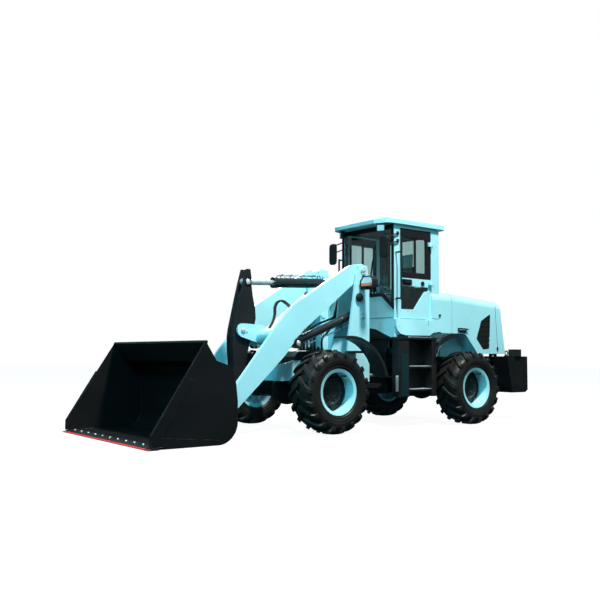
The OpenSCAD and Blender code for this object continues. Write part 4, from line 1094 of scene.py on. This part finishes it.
def valve_guard(bm):
    sheet = [(84, 700), (84, 950), (24, 1014), (-262, 1026), (-262, 1020), (21, 1008), (78, 948), (78, 700)]
    plate(bm, sheet, "y", -280, 280)
    for side in (-1, 1):
        low, high = sorted((side * 274, side * 280))
        plate(bm, [(78, 860), (78, 948), (21, 1008), (-262, 1020), (-262, 860)], "y", low, high)
    for k in range(5):
        x, z = -6 - k * 48, 1015 + 2 * k
        plate(bm, [(x, z), (x - 24, z + 1), (x - 20, z + 11)], "y", -220, 220)
    for y in (-250, 250):
        for x in (-20, -240):
            bolt(bm, (x, y, 1015 - x * 0.042), Z, 11)


def valve_hoses(bm):
    for k in range(4):
        x = VALVE_X + 30 + k * VALVE_PITCH
        for side in (-1, 1):
            y = side * (40 if k % 2 else 110)
            wall = side * SIDE_PLATE_Y
            tube(bm, [(x, y, 1070), (x + 4, y, 1130), (x + 14, y + side * 26, 1200 + 26 * k),
                      (x - 10, wall * 0.72, 1270 + 34 * k), (-566 - 16 * k, wall * 0.86, 1370 + 40 * k),
                      (-600 - 24 * k, wall * 0.9, 1500 + 30 * k), (-650 - 14 * k, wall * 0.9, 1640 + 12 * k),
                      (-688 - 14 * k, wall * 0.82, 1745)], VALVE_HOSE_R, 10, 5)


def tower_back_plate(bm):
    sheet = rounded([(-286, 1290), (286, 1290), (286, 1640), (214, 1748), (-214, 1748), (-286, 1640)], 30)
    rim(bm, sheet, 26, "x", -985, -950)
    plate(bm, inset(sheet, 10), "x", -976, -962)
    for y, z in ((-240, 1340), (240, 1340), (-240, 1600), (240, 1600)):
        bolt(bm, (-962, y, z), X, 13)


single(valve_bank, black_paint, FRONT, 2)
single(valve_guard, black_paint, FRONT, 1.5)
single(valve_hoses, hose_rubber, FRONT, 0, True)
single(tower_back_plate, paint, FRONT, 2)
single(tilt_tubes, steel, "tilt_barrel", 0, True)
single(tilt_clamps, paint, "tilt_barrel", 0, True)
fitted(lift_tube, zinc, "lift_barrel_SIDE", 0, True)
fitted(lift_ports, black_paint, "lift_barrel_SIDE", 0.8)
single(boom_hoses, hose_rubber, "boom", 0, True)
single(hose_clamps, black_paint, "boom", 2)

# %% [markdown]
# ## Pins
# Every pin has an end cap and a grease nipple, and several have a keeper that stops them turning. They are
# small, yet they tell the eye how big the machine is.

# %% Keepers, pin caps and grease nipples
TOWER_FACE = 563


def pin_end(bm, x, y, z, radius):
    knob(bm, [(radius * 0.25, 7), (radius * 0.3, 3), (radius * 0.8, 3), (radius * 0.92, 0)],
           (x, y, z), Y, 28)
    turned(bm, [(TIP, 20), (4, 19), (5, 14), (3.4, 12), (7, 10), (7, 4), (TIP, 4)], (x, y, z), Y, 8)


def tower_pins(bm):
    for x, z, radius in ((-868, 2122, 42), (-860, 1540, 34)):
        pin_end(bm, x, TOWER_FACE, z, radius)
        for dx in (-22, 10):
            bolt(bm, (x + dx, TOWER_FACE, z - 50), Y, 15)


def boom_pins(bm):
    pin_end(bm, 770, 122, 1280, 34)
    bolt(bm, (718, 112, 1262), Y, 14)
    pin_end(bm, 200, 518, 1123, 36)


def lift_caps(bm):
    knob(bm, [(69, 0), (69, 74), (64, 80), (44, 80), (40, 76)], (200, 442, 1123), Y, 36)
    for k in range(3):
        t = 0.4 + 2 * math.pi * k / 3
        bolt(bm, (200 + 54 * math.cos(t), 522, 1123 + 54 * math.sin(t)), Y, 9)


def crank_pins(bm):
    pin_end(bm, 690, 90, 1905, 38)
    pin_end(bm, 800, 90, 418, 38)


def bucket_pins(bm):
    pin_end(bm, 1340, 571, 250, 34)
    for dx, dz in ((58, 42), (58, -42)):
        bolt(bm, (1340 + dx, 559, 250 + dz), Y, 15)
    pin_end(bm, 1417.4, 92, 494.3, 34)


fitted(tower_pins, zinc, FRONT, 0.8)
fitted(boom_pins, zinc, "boom", 0.8)
fitted(lift_caps, black_paint, "boom", 1)
fitted(crank_pins, zinc, "bellcrank", 0.8)
fitted(bucket_pins, zinc, "bucket", 0.8)

# %% [markdown]
# ## Bucket edge
# The cutting edge is bolted on so that it can be turned when it wears. Its bolt heads are polished by the
# load, and a red line along the lip shows the driver where the edge is.

# %% Edge bolts, red lip and weld beads
EDGE_F = high_mm("cutting_edge").x
EDGE_HALF = high_mm("cutting_edge").y
EDGE_BOLTS, EDGE_PITCH = 11, 210


def edge_bolts(bm):
    for k in range(EDGE_BOLTS):
        y = EDGE_PITCH * (k - (EDGE_BOLTS - 1) / 2)
        turned(bm, [(TIP, 11), (8, 10), (13, 6), (15, 0), (15, -2), (TIP, -2)], (EDGE_F - 112, y, 30), Z, 20)


def red_lip(bm):
    section = [(-26, 15.6), (1, 7), (1, 0.4), (-2, 0.4), (-2, 6), (-26, 13.6)]
    plate(bm, [(EDGE_F + x, z) for x, z in section], "y", -EDGE_HALF + 1, EDGE_HALF - 1)


def bucket_welds(bm):
    half = EDGE_HALF - 38
    back = [(2410, 30), (1764, 30), (1640, 62), (1572, 140), (1545, 244), (1548, 468), (1572, 656), (1612, 826),
            (1806, 884), (1915, 1060)]
    tube(bm, [(x, half - 3, z) for x, z in back], 8, 8, 4)
    for y in (431, 529, 47):
        top, low = (560, 80) if y != 47 else (650, 340)
        tube(bm, [(1522, y, low + (top - low) * k / 4) for k in range(1, 4)], 7, 8, 2)


single(edge_bolts, chrome, "bucket", 0.8)
single(red_lip, red_stripe, "bucket", 0.5)
fitted(bucket_welds, bucket_paint, "bucket", 0, True)

# %% [markdown]
# ## Driver's seat
# A seat is foam under a sewn cover: it is crowned in the middle, its sides pull in between the corners, and a
# sewn channel runs along each side. Each cushion is a closed grid shaped by one formula, on a moulded base
# with bellows.

# %% Cushions and seat base
SEAT_X, SEAT_Z = CAB_B + 210, 1270
LEAN, CROWN, GRID, FILL = math.radians(5), 0.25, 22, 0.8


def cushion(bm, x0, z0, halves, turn):
    half_u, half_v, half_t = halves

    def place(u, v, t):
        du, dv = half_u * u * (1 - 0.05 * (1 - v * v)), half_v * v * (1 - 0.04 * (1 - u * u))
        channel = 1 - 0.10 * math.exp(-((abs(v) - 0.62) / 0.05) ** 2)
        edge = ((1 - abs(u) ** 7) * (1 - abs(v) ** 7)) ** 0.36
        rise = t * half_t * edge * channel * (1 - CROWN + CROWN * (1 - u * u) * (1 - v * v))
        x, z = turn(du, rise)
        return at(SEAT_X + x0 + x, dv, SEAT_Z + z0 + z)

    steps = [-1 + 2 * k / GRID for k in range(GRID + 1)]
    for t in (1, -1):
        grid = [[bm.verts.new(place(u, v, t)) for v in steps] for u in steps]
        for a, b in zip(grid, grid[1:]):
            for k in range(GRID):
                bm.faces.new((a[k], a[k + 1], b[k + 1], b[k]))


def flat_turn(along, rise):
    return along, rise


def back_turn(along, rise):
    return rise * math.cos(LEAN) - along * math.sin(LEAN), along * math.cos(LEAN) + rise * math.sin(LEAN)


def seat_base(bm):
    plate(bm, soft_box(SEAT_X + 14, SEAT_X + 306, -196, 196, 30), "z", SEAT_Z, SEAT_Z + 150)
    ring(bm, soft_box(SEAT_X + 4, SEAT_X + 316, -206, 206, 34),
         soft_box(SEAT_X + 60, SEAT_X + 260, -150, 150, 30), "z", SEAT_Z, SEAT_Z + 16)
    for k in range(5):
        fold = SEAT_Z + 152 + k * 16
        ring(bm, soft_box(SEAT_X + 22, SEAT_X + 298, -188, 188, 28),
             soft_box(SEAT_X + 40, SEAT_X + 280, -170, 170, 26), "z", fold, fold + 11)


CUSHIONS = (  # name, finish, place on the base, half sizes, lean
    ("seat_cushion", vinyl, (205, 300), (224, 246, 74), flat_turn),
    ("seat_back", vinyl, (-22, 690), (352, 236, 64), back_turn),
    ("seat_cover", cover, (-54, 1120), (112, 168, 60), back_turn),
)
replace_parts(single(seat_base, trim, REAR, 3), "seat")
for name, material, (x0, z0), halves, turn in CUSHIONS:
    pad = single(lambda bm: cushion(bm, x0, z0, halves, turn), material, REAR, 0, True, name)
    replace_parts(pad, "seat")

# %% [markdown]
# ## Controls
# The right armrest is a moulded pod with the loader lever in a rubber boot and two rows of plain rocker
# switches. Two ribbed pedals lean against the front wall.

# %% Armrest pod, lever and pedals
POD_Y0, POD_Y1 = -372, -268


def control_pod(bm):
    side = [(-2120, 1500), (-1830, 1560), (-1752, 1572), (-1752, 1640), (-1850, 1652), (-2120, 1640)]
    plate(bm, rounded(side, 26), "y", POD_Y0, POD_Y1)
    plate(bm, soft_box(-2060, -1940, POD_Y0 + 24, POD_Y1 - 24, 20), "z", LINING_LOW, 1530)
    for k in range(4):
        for j in range(2):
            x, y = -1990 + k * 34, POD_Y0 + 18 + j * 40
            rocker = [(x, 1640), (x + 26, 1640), (x + 26, 1660), (x + 13, 1652), (x, 1656)]
            plate(bm, rocker, "y", y, y + 28)


def loader_lever(bm):
    foot = (-1798, (POD_Y0 + POD_Y1) / 2, 1644)
    boot = [(TIP, 0), (42, 0), (42, 8), (34, 12), (38, 18), (28, 22), (32, 28), (22, 32), (26, 38), (14, 44),
            (9, 48)]
    grip = [(9, 120), (18, 126), (25, 146), (26, 172), (20, 192), (8, 200), (TIP, 200)]
    turned(bm, boot + grip, foot, (0.12, 0, 1), 28)


def pedals(bm):
    for y0, y1 in ((-300, -210), (205, 300)):
        plate(bm, [(-1640, 1284), (-1628, 1278), (-1520, 1422), (-1532, 1430)], "y", y0, y1)
        for k in range(6):
            x, z = -1630 + k * 17, 1293 + k * 22.5
            plate(bm, [(x, z), (x + 6, z + 8), (x - 1, z + 13), (x - 7, z + 5)], "y", y0 + 6, y1 - 6)
        block(bm, -1536, -1488, (y0 + y1) / 2 - 9, (y0 + y1) / 2 + 9, 1392, 1412)


single(control_pod, trim, REAR, 3)
single(loader_lever, hose_rubber, REAR, 1)
single(pedals, hose_rubber, REAR, 1)

# %% [markdown]
# ## Floor
# The floor is one wide white sheet a hair below the tyres. It shines a little, so that it meets the white
# surround without an edge, and it throws no light back on the machine's underside.

# %% Floor
FLOOR_HALF, FLOOR_DROP = 60.0, 0.001
floor_mesh = bpy.data.meshes.new("floor")
corners = rectangle(-FLOOR_HALF, FLOOR_HALF, -FLOOR_HALF, FLOOR_HALF)
floor_mesh.from_pydata([(x, y, 0) for x, y in corners], [], [(0, 1, 2, 3)])
floor = bpy.data.objects.new("floor", floor_mesh)
floor.location.z = -FLOOR_DROP
floor.data.materials.append(floor_paint)
bpy.context.scene.collection.objects.link(floor)
floor.visible_diffuse = False
floor.visible_glossy = False
print("floor:", 2 * FLOOR_HALF, "m wide")
